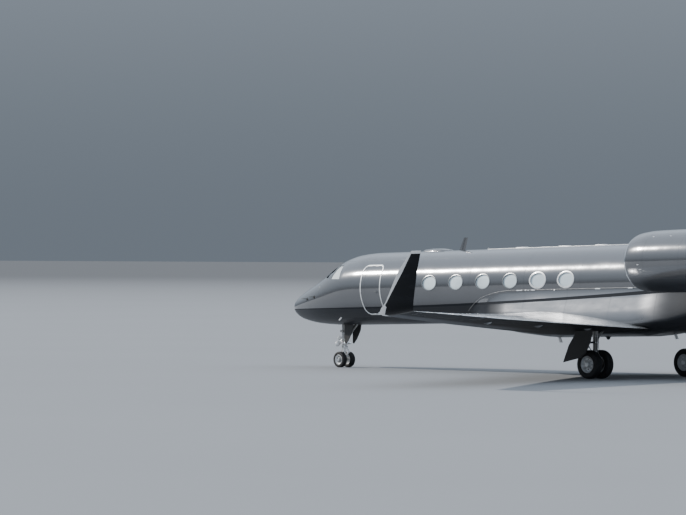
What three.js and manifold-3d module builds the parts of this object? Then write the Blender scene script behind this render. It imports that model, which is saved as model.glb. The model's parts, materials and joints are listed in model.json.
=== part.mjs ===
// A large-cabin business jet standing on its landing gear. Millimetres, +Z up, nose towards -X.
// The airframe is drawn by station: x is the distance aft of the nose tip, y is to starboard and z is the
// height over the fuselage axis. The whole airframe then stands nose down on its gear. The gear is drawn
// upright, from the ground.
import * as THREE from 'three';
import { mergeVertices } from 'three/addons/utils/BufferGeometryUtils.js';
import Module from 'manifold-3d';

const wasm = await Module();
wasm.setup();

// Clearances
const GAP = 0.3; // between pieces that touch
const SLACK = 4; // between curved skins that don't touch
const RUN = 10; // round a moving panel

// Fuselage
const RADIUS = 1195;
const WALL = 75;
const AXIS_HEIGHT = 2969.5; // of the fuselage axis over the ground, at the main gear
const NOSE_DOWN = THREE.MathUtils.degToRad(1.47);
const RADOME_END = 1050;
const NOSE_END = 4300;
const CABIN_END = 17000;
const AROUND = 32;
const FLOOR = -790;

// Gear
const MAIN_GEAR = 16180;
const NOSE_GEAR = 2400;
const MAIN_GEAR_X = 1534; // where the main gear stands, aft of the middle of the whole jet
const TRACK = 4370;
const MAIN_TYRE = { radius: 444.5, width: 280, rim: 265, spacing: 500, sides: 20, holes: 8 };
const NOSE_TYRE = { radius: 266.5, width: 178, rim: 172, spacing: 380, sides: 18, holes: 6 };

// Openings in the fuselage
const DOOR = { front: 4480, back: 5370, bottom: -830, top: 740, corner: 160 };
const WINDOW = { first: 6493, pitch: 1237, count: 7, width: 660, height: 483, z: 130, sides: 14 };

// Wing, by station and by the distance from the centreline
const WING_ROWS = [
  // y, leading edge, trailing edge, height of the trailing edge, thickness over chord
  { y: 1000, le: 11160, te: 17440, z: -1458, thick: 0.112 },
  { y: 4600, le: 13320, te: 17950, z: -1300, thick: 0.105 },
  { y: 9000, le: 15954, te: 18972, z: -1110, thick: 0.1 },
  { y: 13600, le: 18710, te: 20040, z: -880, thick: 0.095 },
];
const WING_TWIST = [2.6, 1.6, 0.4, -3.5]; // degrees, at the rows above

const bodyPaint = new THREE.MeshStandardMaterial({ color: 0xa9adb1, roughness: 0.25, metalness: 0.6 });
const wingPaint = new THREE.MeshStandardMaterial({ color: 0x8d9195, roughness: 0.35, metalness: 0.6 });
const blackPaint = new THREE.MeshStandardMaterial({ color: 0x15161a, roughness: 0.3, metalness: 0.1 });
const gearPaint = new THREE.MeshStandardMaterial({ color: 0xd8dadb, roughness: 0.35, metalness: 0.3 });
const rimMetal = new THREE.MeshStandardMaterial({ color: 0x8b8f93, roughness: 0.4, metalness: 0.7 });
const tyreRubber = new THREE.MeshStandardMaterial({ color: 0x1a1a1b, roughness: 0.85, metalness: 0 });
const darkMetal = new THREE.MeshStandardMaterial({ color: 0x3c3f43, roughness: 0.45, metalness: 0.8 });
const glazing = new THREE.MeshStandardMaterial({ color: 0x20262c, roughness: 0.08, metalness: 0 });
const shade = new THREE.MeshStandardMaterial({ color: 0xc4ced8, roughness: 0.2, metalness: 0 });
const trimLeather = new THREE.MeshStandardMaterial({ color: 0x6f5f4d, roughness: 0.7, metalness: 0 });
const liner = new THREE.MeshStandardMaterial({ color: 0xcfc8bb, roughness: 0.7, metalness: 0 });

// Merges equal corners, drops the triangles that this closes and turns the faces outwards.
function closed(geometry) {
  const bare = geometry.clone();
  for (const name of Object.keys(bare.attributes)) {
    if (name !== 'position') bare.deleteAttribute(name);
  }
  const merged = mergeVertices(bare, 1e-3);
  const kept = [];
  const index = merged.index.array;
  for (let i = 0; i < index.length; i += 3) {
    const [a, b, c] = [index[i], index[i + 1], index[i + 2]];
    if (a !== b && b !== c && c !== a) kept.push(a, b, c);
  }
  merged.setIndex(kept);
  if (volume(merged) < 0) merged.setIndex(kept.reverse());
  return merged;
}

function volume(geometry) {
  const position = geometry.attributes.position;
  const index = geometry.index.array;
  const [a, b, c] = [new THREE.Vector3(), new THREE.Vector3(), new THREE.Vector3()];
  let sum = 0;
  for (let i = 0; i < index.length; i += 3) {
    a.fromBufferAttribute(position, index[i]);
    b.fromBufferAttribute(position, index[i + 1]);
    c.fromBufferAttribute(position, index[i + 2]);
    sum += a.dot(b.cross(c)) / 6;
  }
  return sum;
}

function solid(geometry) {
  const shape = closed(geometry);
  return new wasm.Manifold(new wasm.Mesh({
    numProp: 3,
    vertProperties: new Float32Array(shape.attributes.position.array),
    triVerts: new Uint32Array(shape.index.array),
  }));
}

function geometryOf(body) {
  const mesh = body.getMesh();
  const geometry = new THREE.BufferGeometry();
  geometry.setAttribute('position', new THREE.BufferAttribute(mesh.vertProperties, 3));
  geometry.setIndex(new THREE.BufferAttribute(mesh.triVerts, 1));
  const loose = geometry.toNonIndexed();
  loose.computeVertexNormals();
  return loose;
}

// A closed skin over rings of points, each ring with the same number of points.
function loft(rings) {
  const count = rings[0].length;
  const index = [];
  for (let row = 0; row + 1 < rings.length; row++) {
    for (let i = 0; i < count; i++) {
      const a = row * count + i;
      const b = row * count + ((i + 1) % count);
      index.push(a, b, b + count, a, b + count, a + count);
    }
  }
  const last = (rings.length - 1) * count;
  for (const triangle of ringCap(rings[0])) index.push(triangle[2], triangle[1], triangle[0]);
  for (const triangle of ringCap(rings.at(-1))) index.push(...triangle.map((i) => i + last));
  const geometry = new THREE.BufferGeometry();
  geometry.setAttribute('position', new THREE.Float32BufferAttribute(rings.flat(2), 3));
  geometry.setIndex(index);
  return solid(geometry);
}

// Triangles over one ring, seen along the axis in which the ring is flattest.
function ringCap(ring) {
  const spans = [0, 1, 2].map((k) => {
    const values = ring.map((point) => point[k]);
    return Math.max(...values) - Math.min(...values);
  });
  const flattest = spans.indexOf(Math.min(...spans));
  const [u, v] = [0, 1, 2].filter((k) => k !== flattest);
  const contour = ring.map((point) => new THREE.Vector2(point[u], point[v]));
  return THREE.ShapeUtils.triangulateShape(contour, []).map((t) => [...t].sort((a, b) => a - b));
}

function box(x0, x1, y0, y1, z0, z1) {
  const geometry = new THREE.BoxGeometry(x1 - x0, y1 - y0, z1 - z0);
  geometry.translate((x0 + x1) / 2, (y0 + y1) / 2, (z0 + z1) / 2);
  return solid(geometry);
}

// A round bar from one point to another, with its radius at each end.
function bar(from, to, radius, endRadius = radius, sides = 16) {
  const start = new THREE.Vector3(...from);
  const along = new THREE.Vector3(...to).sub(start);
  const geometry = new THREE.CylinderGeometry(endRadius, radius, along.length(), sides);
  geometry.translate(0, along.length() / 2, 0);
  const turn = new THREE.Quaternion().setFromUnitVectors(new THREE.Vector3(0, 1, 0), along.normalize());
  geometry.applyQuaternion(turn);
  geometry.translate(start.x, start.y, start.z);
  return solid(geometry);
}

// A flat outline of [a, b] points, pushed along one axis from one value to another.
function slab(points, axis, from, to) {
  const shape = new THREE.Shape(points.map(([a, b]) => new THREE.Vector2(a, b)));
  const geometry = new THREE.ExtrudeGeometry(shape, { depth: 1, bevelEnabled: false, curveSegments: 6 });
  const position = geometry.attributes.position;
  for (let i = 0; i < position.count; i++) {
    const [a, b] = [position.getX(i), position.getY(i)];
    const c = position.getZ(i) > 0.5 ? to : from;
    if (axis === 'x') position.setXYZ(i, c, a, b);
    if (axis === 'y') position.setXYZ(i, a, c, b);
    if (axis === 'z') position.setXYZ(i, a, b, c);
  }
  return solid(geometry);
}

// A turned shape about the axis that runs along +X or +Y from a point. Rows are [along, radius].
function turned(rows, axis, centre, sides = 32) {
  const profile = rows.map(([along, radius]) => new THREE.Vector2(radius, along));
  const geometry = new THREE.LatheGeometry(profile, sides);
  if (axis === 'x') geometry.rotateZ(-Math.PI / 2);
  geometry.translate(...centre);
  return solid(geometry);
}

function oval(x, z, width, height, sides) {
  return Array.from({ length: sides }, (_, i) => {
    const turn = (2 * Math.PI * i) / sides;
    return [x + (width / 2) * Math.cos(turn), z + (height / 2) * Math.sin(turn)];
  });
}

function roundedBox(x0, x1, z0, z1, topCorner, bottomCorner = topCorner) {
  const centres = [
    [x1 - topCorner, z1 - topCorner, 0, topCorner],
    [x0 + topCorner, z1 - topCorner, 90, topCorner],
    [x0 + bottomCorner, z0 + bottomCorner, 180, bottomCorner],
    [x1 - bottomCorner, z0 + bottomCorner, 270, bottomCorner],
  ];
  return centres.flatMap(([x, z, start, radius]) => [0, 30, 60, 90].map((step) => {
    const turn = THREE.MathUtils.degToRad(start + step);
    return [x + radius * Math.cos(turn), z + radius * Math.sin(turn)];
  }));
}

// Fuselage, by station: half width, top, bottom, and the height of the widest line.
const BODY_LINES = [
  { s: 0, half: 12, top: -558, bottom: -582, mid: -570 },
  { s: 60, half: 175, top: -400, bottom: -720, mid: -570 },
  { s: 200, half: 310, top: -270, bottom: -830, mid: -560 },
  { s: 500, half: 480, top: -110, bottom: -970, mid: -530 },
  { s: 1050, half: 700, top: 115, bottom: -1085, mid: -450 },
  { s: 1500, half: 850, top: 290, bottom: -1140, mid: -390 },
  { s: 2000, half: 975, top: 520, bottom: -1170, mid: -310 },
  { s: 2500, half: 1065, top: 810, bottom: -1188, mid: -220 },
  { s: 3000, half: 1130, top: 1030, bottom: -1195, mid: -120 },
  { s: 3500, half: 1172, top: 1140, bottom: -1195, mid: -40 },
  { s: 4300, half: RADIUS, top: RADIUS, bottom: -RADIUS, mid: 0 },
  { s: 17000, half: RADIUS, top: RADIUS, bottom: -RADIUS, mid: 0 },
  { s: 19000, half: 1160, top: 1190, bottom: -1020, mid: 70 },
  { s: 21000, half: 1020, top: 1160, bottom: -720, mid: 200 },
  { s: 23000, half: 820, top: 1080, bottom: -380, mid: 340 },
  { s: 25000, half: 580, top: 980, bottom: -20, mid: 470 },
  { s: 26500, half: 380, top: 880, bottom: 250, mid: 560 },
  { s: 27600, half: 200, top: 780, bottom: 450, mid: 615 },
];

// The slope at a row of the table: level where the line turns back, and never steep enough to overshoot.
function slopeAt(i, key) {
  if (i === 0 || i === BODY_LINES.length - 1) return null;
  const [a, b, c] = [BODY_LINES[i - 1], BODY_LINES[i], BODY_LINES[i + 1]];
  const before = (b[key] - a[key]) / (b.s - a.s);
  const after = (c[key] - b[key]) / (c.s - b.s);
  if (before * after <= 0) return 0;
  return (2 * before * after) / (before + after);
}

// The body's lines at any station, as a smooth curve through the table.
function smoothLine(s, key) {
  const next = Math.max(BODY_LINES.findIndex((row) => row.s >= s), 1);
  const [a, b] = [BODY_LINES[next - 1], BODY_LINES[next]];
  const run = b.s - a.s;
  const chord = (b[key] - a[key]) / run;
  const start = slopeAt(next - 1, key) ?? chord;
  const end = slopeAt(next, key) ?? chord;
  const t = (s - a.s) / run;
  return a[key] * (1 + 2 * t) * (1 - t) ** 2 + b[key] * t ** 2 * (3 - 2 * t)
    + run * t * (1 - t) * (start * (1 - t) - end * t);
}

// Where the fuselage has its rings: closer together where it is more curved.
const RINGS = [
  0, 20, 60, 120, 200, 340, 500, 750, 1050, 1270, 1500, 1750, 2000, 2250, 2500, 2750, 3000, 3250, 3500, 3900,
  4300, 17000, 18000, 19000, 20000, 21000, 22000, 23000, 25000, 26500, 27600,
];
const BODY_ROWS = RINGS.map((s) => ({
  s,
  half: smoothLine(s, 'half'),
  top: smoothLine(s, 'top'),
  bottom: smoothLine(s, 'bottom'),
  mid: smoothLine(s, 'mid'),
}));

function bodyRing(row, grow) {
  return Array.from({ length: AROUND }, (_, i) => {
    const turn = (2 * Math.PI * i) / AROUND;
    const rise = Math.sin(turn);
    const reach = rise > 0 ? row.top - row.mid : row.mid - row.bottom;
    const lift = Math.max(reach + grow, 4);
    return [row.s, Math.max(row.half + grow, 4) * Math.cos(turn), row.mid + lift * rise];
  });
}

// The row at any station, on the straight skin between the two rings beside it.
function bodyRow(s) {
  const next = BODY_ROWS.findIndex((row) => row.s >= s);
  const [a, b] = [BODY_ROWS[Math.max(next - 1, 0)], BODY_ROWS[next]];
  const t = b.s === a.s ? 0 : (s - a.s) / (b.s - a.s);
  const mix = (key) => a[key] + (b[key] - a[key]) * t;
  return { s, half: mix('half'), top: mix('top'), bottom: mix('bottom'), mid: mix('mid') };
}

function bodyBetween(from, to, grow = 0) {
  const inside = BODY_ROWS.filter((row) => row.s > from && row.s < to);
  return loft([bodyRow(from), ...inside, bodyRow(to)].map((row) => bodyRing(row, grow)));
}

const bodySkin = bodyBetween(0, BODY_ROWS.at(-1).s, GAP);
const pieces = [];

function add(name, body, material, group = 'airframe') {
  pieces.push({ name, body, material, group });
}

// Radome, nose, cabin and tail sections
const COCKPIT_FRONT = 1950;
const PANE_FRONT = [[-45, 560], [-560, 470], [-470, 800], [-45, 880]]; // y, z of the port front pane
const PANES_SIDE = [
  [[2300, 400], [2690, 360], [2820, 800], [2640, 765]], // station, z
  [[2770, 350], [3300, 340], [3200, 790], [2900, 800]],
];
const PANE_FRONT_REACH = [1600, 2620]; // stations

function paneCutters(shrink) {
  const inwards = (points) => {
    const cx = points.reduce((sum, p) => sum + p[0], 0) / points.length;
    const cz = points.reduce((sum, p) => sum + p[1], 0) / points.length;
    return points.map(([x, z]) => {
      const reach = Math.hypot(x - cx, z - cz);
      return [x + ((cx - x) * shrink) / reach, z + ((cz - z) * shrink) / reach];
    });
  };
  const cutters = [];
  for (const side of [-1, 1]) {
    const front = inwards(PANE_FRONT).map(([y, z]) => [-side * y, z]);
    cutters.push(slab(front, 'x', PANE_FRONT_REACH[0] + shrink, PANE_FRONT_REACH[1] - shrink));
    for (const pane of PANES_SIDE) {
      cutters.push(slab(inwards(pane), 'y', side * 350, side * 1400));
    }
  }
  return cutters;
}

function cutAll(body, cutters) {
  return cutters.reduce((left, cutter) => left.subtract(cutter), body);
}

add('radome', bodyBetween(0, RADOME_END), bodyPaint);

const COCKPIT_FLOOR_END = 3400; // ahead of it the nose section is solid up to the floor
const cockpitRoom = bodyBetween(COCKPIT_FRONT, NOSE_END + 200, -WALL)
  .subtract(box(0, COCKPIT_FLOOR_END, -1300, 1300, -1400, FLOOR));
const NOSE_BAY = { front: 2150, back: 3150, half: 190, roof: -850 };
const noseLegBay = box(NOSE_BAY.front, NOSE_BAY.back, -NOSE_BAY.half, NOSE_BAY.half, -1300, NOSE_BAY.roof);
const noseShell = bodyBetween(RADOME_END + GAP, NOSE_END).subtract(cockpitRoom);
add('fuselage_nose', cutAll(noseShell, paneCutters(0)).subtract(noseLegBay), bodyPaint);

const windshieldLayer = bodyBetween(2050, 3600, -WALL - SLACK)
  .subtract(bodyBetween(2000, 3700, -WALL - 25))
  .subtract(box(1900, 3800, -1300, 1300, -1400, 330));
let windshield = windshieldLayer;
const paneSkin = bodyBetween(1400, 3700, -18).subtract(bodyBetween(1300, 3800, -WALL - 20));
for (const cutter of paneCutters(0.5)) windshield = windshield.add(cutter.intersect(paneSkin));
add('windshield', windshield.subtract(box(1900, 3800, -1300, 1300, -1400, 330)), glazing);

const doorWayEdge = roundedBox(DOOR.front, DOOR.back, DOOR.bottom, DOOR.top, DOOR.corner);
const doorWay = slab(doorWayEdge, 'y', -1300, -500);
const windowAt = (i) => WINDOW.first + i * WINDOW.pitch;
const windowCutters = [];
for (let i = 0; i < WINDOW.count; i++) {
  const outline = oval(windowAt(i), WINDOW.z, WINDOW.width, WINDOW.height, WINDOW.sides);
  windowCutters.push(slab(outline, 'y', -1300, 1300));
}
const cabinShell = bodyBetween(NOSE_END + GAP, CABIN_END).subtract(bodyBetween(4200, 17100, -WALL));
add('fuselage_cabin', cutAll(cabinShell, [doorWay, ...windowCutters]), bodyPaint);

const tailShell = bodyBetween(CABIN_END + GAP, 27600).subtract(bodyBetween(16900, 26300, -WALL));
add('fuselage_tail', tailShell, bodyPaint);

// Cabin windows: on each side one inner strip carries the seven ovals.
for (const [side, name] of [[-1, 'left'], [1, 'right']]) {
  const strip = bodyBetween(6100, 14330, -WALL - GAP)
    .subtract(bodyBetween(6000, 14400, -WALL - 20))
    .intersect(box(6100, 14330, Math.min(0, side * 1300), Math.max(0, side * 1300), -200, 460));
  const paneLayer = bodyBetween(6000, 14400, -25).subtract(bodyBetween(5900, 14500, -WALL - 10));
  let windows = strip;
  for (let i = 0; i < WINDOW.count; i++) {
    const outline = oval(windowAt(i), WINDOW.z, WINDOW.width - 2, WINDOW.height - 2, WINDOW.sides);
    windows = windows.add(slab(outline, 'y', side * 700, side * 1300).intersect(paneLayer));
  }
  add(`cabin_windows_${name}`, windows, shade);
}

// Cabin floor with the lobe under it, bulkhead, seats and panel
const doorWell = box(DOOR.front - 60, DOOR.back + 60, -1300, -600, DOOR.bottom - 60, 0);
const cabinFloor = bodyBetween(COCKPIT_FLOOR_END + GAP, CABIN_END - 100, -WALL - SLACK)
  .intersect(box(COCKPIT_FLOOR_END, CABIN_END - 100, -1300, 1300, -1300, FLOOR))
  .subtract(doorWell);
add('cabin_floor', cabinFloor, liner);

const BULKHEAD = 3960;
const bulkheadDoor = box(BULKHEAD - 50, BULKHEAD + 100, -330, 330, FLOOR - 10, 950);
const bulkhead = bodyBetween(BULKHEAD, BULKHEAD + 40, -WALL - SLACK)
  .intersect(box(BULKHEAD, BULKHEAD + 40, -1300, 1300, FLOOR + GAP, 1300))
  .subtract(bulkheadDoor);
add('cockpit_bulkhead', bulkhead, liner);

const panel = bodyBetween(2250, 2750, -WALL - 30)
  .intersect(slab([[2250, 250], [2600, 300], [2680, 180], [2560, -300], [2250, -300]], 'y', -900, 900));
const panelPost = box(2300, 2540, -260, 260, FLOOR + GAP, -290)
  .intersect(bodyBetween(2250, 2750, -WALL - GAP));
add('instrument_panel', panel.add(panelPost), darkMetal);

for (const [side, name] of [[-1, 'left'], [1, 'right']]) {
  const middle = side * 520;
  const seat = box(3420, 3900, middle - 230, middle + 230, -420, -300)
    .add(slab([[3780, -320], [3880, -320], [3950, 420], [3860, 420]], 'y', middle - 220, middle + 220))
    .add(box(3520, 3800, middle - 120, middle + 120, FLOOR + GAP, -400));
  add(`crew_seat_${name}`, seat, trimLeather);
}

// Entry door: the piece of wall cut out by the doorway, with its steps on the inside
const STEP_TURN = THREE.MathUtils.degToRad(130); // the steps lie level once the door is down
const DOOR_GAP = 8;
const DOOR_SILL_CORNER = 200; // rounder than the doorway's, to swing clear of it
const doorEdge = roundedBox(
  DOOR.front + DOOR_GAP, DOOR.back - DOOR_GAP, DOOR.bottom + DOOR_GAP, DOOR.top - DOOR_GAP,
  DOOR.corner - DOOR_GAP, DOOR_SILL_CORNER,
);
const sillStrip = box(DOOR.front + 220, DOOR.back - 220, -1300, -500, DOOR.bottom + GAP, DOOR.bottom + 30);
let entryDoor = cabinShell.intersect(slab(doorEdge, 'y', -1300, -500)).add(cabinShell.intersect(sillStrip));
for (const height of [-560, -290, -20, 250, 520]) {
  const reach = Math.sqrt((RADIUS - WALL + 20) ** 2 - height ** 2);
  const tread = box(DOOR.front + 110, DOOR.back - 110, 0, 190, -12, 12)
    .rotate([(-180 * (STEP_TURN - Math.PI / 2)) / Math.PI, 0, 0])
    .translate([0, -reach, height]);
  entryDoor = entryDoor.add(tread);
}
add('entry_door', entryDoor, bodyPaint);

// A wing section: points from the nose over the top to the trailing edge and back below.
const HALF_POINTS = 9;
const EDGE = 0.0015; // half the thickness of the trailing edge, over the chord
function foil(t) {
  return 5 * (0.2969 * Math.sqrt(t) - 0.126 * t - 0.3516 * t ** 2 + 0.2843 * t ** 3 - 0.1015 * t ** 4);
}

function foilRing(row) {
  const chord = row.te - row.le;
  const twist = THREE.MathUtils.degToRad(row.twist ?? 0);
  const cant = THREE.MathUtils.degToRad(row.cant ?? 0);
  const skinPoint = (i, over) => {
    const t = 0.5 - 0.5 * Math.cos((Math.PI * i) / HALF_POINTS);
    const share = 1 + over * (row.camber ?? 0);
    return [row.te - chord * t, over * chord * (foil(1 - t) * row.thick * share + EDGE)];
  };
  const steps = Array.from({ length: HALF_POINTS - 1 }, (_, i) => i + 1);
  const upper = steps.toReversed().map((i) => skinPoint(i, 1));
  const lower = steps.map((i) => skinPoint(i, -1));
  return [...upper, [row.te, -chord * EDGE], ...lower, [row.le, 0]].map(([x, up]) => {
    const fore = row.te - x;
    const rise = fore * Math.sin(twist) + up * Math.cos(twist);
    return [row.te - fore * Math.cos(twist), row.y - rise * Math.sin(cant), row.z + rise * Math.cos(cant)];
  });
}

const mirrored = (body, side) => (side > 0 ? body : body.mirror([0, 1, 0]));

// Everything behind a straight line from [s, y] to [s, y], between planes square to that line.
function behind(line, deep, from, to) {
  const [a, b] = line;
  const along = new THREE.Vector2(b[0] - a[0], b[1] - a[1]).normalize();
  const aft = new THREE.Vector2(along.y, -along.x);
  const at = (t, depth) => [a[0] + along.x * t + aft.x * depth, a[1] + along.y * t + aft.y * depth];
  const end = Math.hypot(b[0] - a[0], b[1] - a[1]) + to;
  return slab([at(from, deep[0]), at(end, deep[0]), at(end, deep[1]), at(from, deep[1])], 'z', -2600, 2600);
}

// Wing
const wingRings = (drop = 0) => WING_ROWS.map((row, i) => foilRing({
  ...row, z: row.z - drop, twist: WING_TWIST[i], camber: 0.08,
}));
const FLAP_LINE = [[16640, 1750], [18130, 9700]];
const FLAP_AXIS_DROP = 135;
const AILERON_LINE = [[18520, 9950], [19540, 13150]];
const SPOILER_LINE = [[16375, 3300], [17425, 8900]];
const SPOILER_DEEP = 520;
const SPOILER_THICK = 40;

function wingHeight(y) {
  const i = WING_ROWS.findIndex((row) => row.y >= y);
  const [a, b] = [WING_ROWS[i - 1], WING_ROWS[i]];
  return a.z + ((b.z - a.z) * (y - a.y)) / (b.y - a.y);
}

const fullWing = loft(wingRings());

// Wing to body fairing
const FAIRING_ROWS = [
  { s: 9200, half: 480, top: -800, bottom: -1150 },
  { s: 9450, half: 720, top: -680, bottom: -1225 },
  { s: 10000, half: 1040, top: -400, bottom: -1350 },
  { s: 10550, half: 1190, top: -240, bottom: -1450 },
  { s: 11300, half: 1320, top: -150, bottom: -1560 },
  { s: 12600, half: 1430, top: -140, bottom: -1690 },
  { s: 16800, half: 1430, top: -140, bottom: -1690 },
  { s: 18300, half: 1300, top: -160, bottom: -1520 },
  { s: 19600, half: 1090, top: -260, bottom: -1130 },
  { s: 20500, half: 800, top: -420, bottom: -740 },
];
const FAIRING_SHARES = [0, 0.12, 0.24, 0.36, 0.48, 0.6, 0.7, 0.78, 0.86, 0.93, 0.98]; // of the way down
const FAIRING_WIDEST = 0.7; // of the way down, by when it has swelled from the hull's width to its own
const FAIRING_TUCK = 20; // how far its upper edge starts inside the hull

function fairingSolid(grow) {
  return loft(FAIRING_ROWS.map((row) => {
    const hull = bodyRow(row.s);
    const drop = (row.top - hull.mid) / (hull.bottom - hull.mid);
    const edge = hull.half * Math.sqrt(1 - drop ** 2) - FAIRING_TUCK;
    const side = FAIRING_SHARES.map((share) => {
      const low = Math.max(share - FAIRING_WIDEST, 0) / (1 - FAIRING_WIDEST);
      const swell = (1 - Math.cos((Math.PI * Math.min(share, FAIRING_WIDEST)) / FAIRING_WIDEST)) / 2;
      const wide = (edge + (row.half - edge) * swell) * (1 - low ** 2.2) ** (1 / 2.2);
      return [wide + grow, row.top + (row.bottom - row.top) * share - grow * share];
    });
    const port = side.toReversed().map(([y, z]) => [row.s, -y, z]);
    return [...side.map(([y, z]) => [row.s, y, z]), [row.s, 0, row.bottom - grow], ...port];
  }));
}
add('wing_fairing', fairingSolid(0).subtract(bodySkin), bodyPaint);
const fairingSkin = fairingSolid(GAP);

// The hinge line of a trailing edge panel, in space, from its plan line and the wing's height.
function hingeLine(line, drop) {
  return line.map(([s, y]) => {
    const i = WING_ROWS.findIndex((row) => row.y >= y);
    const rows = [WING_ROWS[i - 1], WING_ROWS[i]];
    const t = (y - rows[0].y) / (rows[1].y - rows[0].y);
    const twist = THREE.MathUtils.degToRad(WING_TWIST[i - 1] + (WING_TWIST[i] - WING_TWIST[i - 1]) * t);
    const te = rows[0].te + (rows[1].te - rows[0].te) * t;
    return [s, y, wingHeight(y) + (te - s) * Math.sin(twist) - drop];
  });
}

const flapHinge = hingeLine(FLAP_LINE, FLAP_AXIS_DROP);
const aileronHinge = hingeLine(AILERON_LINE, 0);
const AILERON_NOSE = [106, 60]; // radius of the round nose at each end
const flapZone = behind(FLAP_LINE, [0, 3000], 0, 0);
const flapRoom = behind(FLAP_LINE, [-RUN, 3000], -RUN, RUN);
const flap = fullWing.intersect(flapZone);
const aileronRound = bar(aileronHinge[0], aileronHinge[1], AILERON_NOSE[0], AILERON_NOSE[1], 24);
const aileron = fullWing.intersect(behind(AILERON_LINE, [0, 3000], 0, 0).add(aileronRound));

function lengthened(line, by) {
  const [a, b] = line.map((p) => new THREE.Vector3(...p));
  const along = b.clone().sub(a).normalize().multiplyScalar(by);
  return [a.sub(along).toArray(), b.add(along).toArray()];
}

// Short pins on a hinge line, from inside the fixed end walls to just off the moving panel.
function hingePins(line, radii, lean = 0) {
  const root = lengthened(line, RUN + 6);
  return [0, 1].map((end) => {
    const face = lengthened(line, GAP + radii[end] * lean);
    return bar(root[end], face[end], radii[end], radii[end], 10);
  });
}

const aileronLong = lengthened(aileronHinge, RUN);
const aileronRoom = behind(AILERON_LINE, [0, 3000], -RUN, RUN)
  .add(bar(aileronLong[0], aileronLong[1], AILERON_NOSE[0] + RUN, AILERON_NOSE[1] + RUN, 24));
const spoilerZone = behind(SPOILER_LINE, [0, SPOILER_DEEP], 0, 0);
const spoilerRoom = behind(SPOILER_LINE, [-RUN, SPOILER_DEEP + RUN], -RUN, RUN);
const spoiler = fullWing.intersect(spoilerZone).subtract(loft(wingRings(SPOILER_THICK)));
const spoilerPocket = spoilerRoom.subtract(loft(wingRings(SPOILER_THICK + GAP)));

// Moves a body drawn about the Y axis to a share of the way along a line, square to it.
function ontoLine(body, line, share) {
  const [a, b] = line.map((p) => new THREE.Vector3(...p));
  const along = b.clone().sub(a).normalize();
  const aft = along.clone().cross(new THREE.Vector3(0, 0, 1)).normalize();
  const up = aft.clone().cross(along);
  const place = new THREE.Matrix4().makeBasis(aft, along, up).setPosition(a.lerp(b, share));
  return body.transform(place.elements);
}

// Hinge brackets just under the flap's front edge. The front half is on the wing and the back half on the
// flap, side by side at the hinge.
const FLAP_BRACKETS = [0.2, 0.53, 0.86];
const BRACKET = { thick: 50, boss: 20, front: 260, back: 240, lean: 120 };
function flapBracket(share, moving) {
  const top = FLAP_AXIS_DROP;
  const keel = [0, 0.2, 0.4, 0.6, 0.8, 1].map((t) => {
    const turn = (Math.PI / 2) * t;
    const reach = moving ? BRACKET.back : -BRACKET.front;
    return [reach * Math.cos(turn), top - (top + BRACKET.boss) * Math.sin(turn) ** 1.4];
  });
  const round = [30, 60, 90].map((degrees) => {
    const turn = THREE.MathUtils.degToRad(degrees);
    return [(moving ? -1 : 1) * BRACKET.boss * Math.sin(turn), -BRACKET.boss * Math.cos(turn)];
  });
  const outline = [...keel, ...round, [moving ? BRACKET.lean : -BRACKET.lean, top]];
  const sides = moving ? [GAP, GAP + BRACKET.thick] : [-BRACKET.thick, 0];
  const plate = slab(outline, 'y', ...sides);
  return ontoLine(plate, flapHinge, share);
}

const wingTip = { ...WING_ROWS.at(-1), twist: WING_TWIST.at(-1), camber: 0.08 };
const winglet = loft([
  { ...wingTip, y: wingTip.y + GAP },
  { y: 13750, le: 18800, te: 20160, z: -862, thick: 0.09, twist: -3, cant: 26 },
  { y: 13850, le: 18990, te: 20275, z: -760, thick: 0.085, twist: -1.5, cant: 62 },
  { y: 13892, le: 19180, te: 20330, z: -620, thick: 0.082, cant: 80 },
  { y: 14070, le: 19870, te: 20670, z: 200, thick: 0.08, cant: 80 },
  { y: 14236, le: 20560, te: 21000, z: 735, thick: 0.08, cant: 80 },
  { y: 14250, le: 20650, te: 21035, z: 800, thick: 0.05, cant: 80 },
].map(foilRing));

for (const [side, name] of [[-1, 'left'], [1, 'right']]) {
  let wing = fullWing.subtract(flapRoom).subtract(aileronRoom).subtract(spoilerPocket);
  let flapBody = flap;
  for (const share of FLAP_BRACKETS) {
    wing = wing.add(flapBracket(share, false));
    flapBody = flapBody.add(flapBracket(share, true));
  }
  for (const pin of hingePins(aileronHinge, [20, 14], 0.06)) wing = wing.add(pin);
  add(`wing_${name}`, mirrored(wing, side).subtract(fairingSkin).subtract(bodySkin), wingPaint);
  add(`flap_${name}`, mirrored(flapBody, side), wingPaint);
  add(`aileron_${name}`, mirrored(aileron, side), wingPaint);
  add(`spoiler_${name}`, mirrored(spoiler, side), wingPaint);
  add(`winglet_${name}`, mirrored(winglet, side), blackPaint);
}

// Fin with the dorsal fin, and the rudder
function finRing(row) {
  return foilRing({ ...row, y: 0, z: 0 }).map(([x, y, up]) => [x, up, row.z]);
}
const FIN_ROWS = [
  { z: 700, le: 22600, te: 27000, thick: 0.1 },
  { z: 4420, le: 25020, te: 27900, thick: 0.1 },
];
const RUDDER_LINE = [[26012, 1500], [27050, 3990]]; // station, z
const RUDDER_NOSE = [155, 118];
const finLoft = loft(FIN_ROWS.map(finRing));
const upright = (line, deep, from, to) => behind(line, deep, from, to).rotate([90, 0, 0]);
const rudderAxis = RUDDER_LINE.map(([s, z]) => [s, 0, z]);
const rudderLong = lengthened(rudderAxis, RUN);
const rudder = finLoft.intersect(
  upright(RUDDER_LINE, [0, 3000], 0, 0).add(bar(rudderAxis[0], rudderAxis[1], ...RUDDER_NOSE, 24)),
);
const rudderRoom = upright(RUDDER_LINE, [0, 3000], -RUN, RUN)
  .add(bar(rudderLong[0], rudderLong[1], RUDDER_NOSE[0] + RUN, RUDDER_NOSE[1] + RUN, 24));
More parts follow.
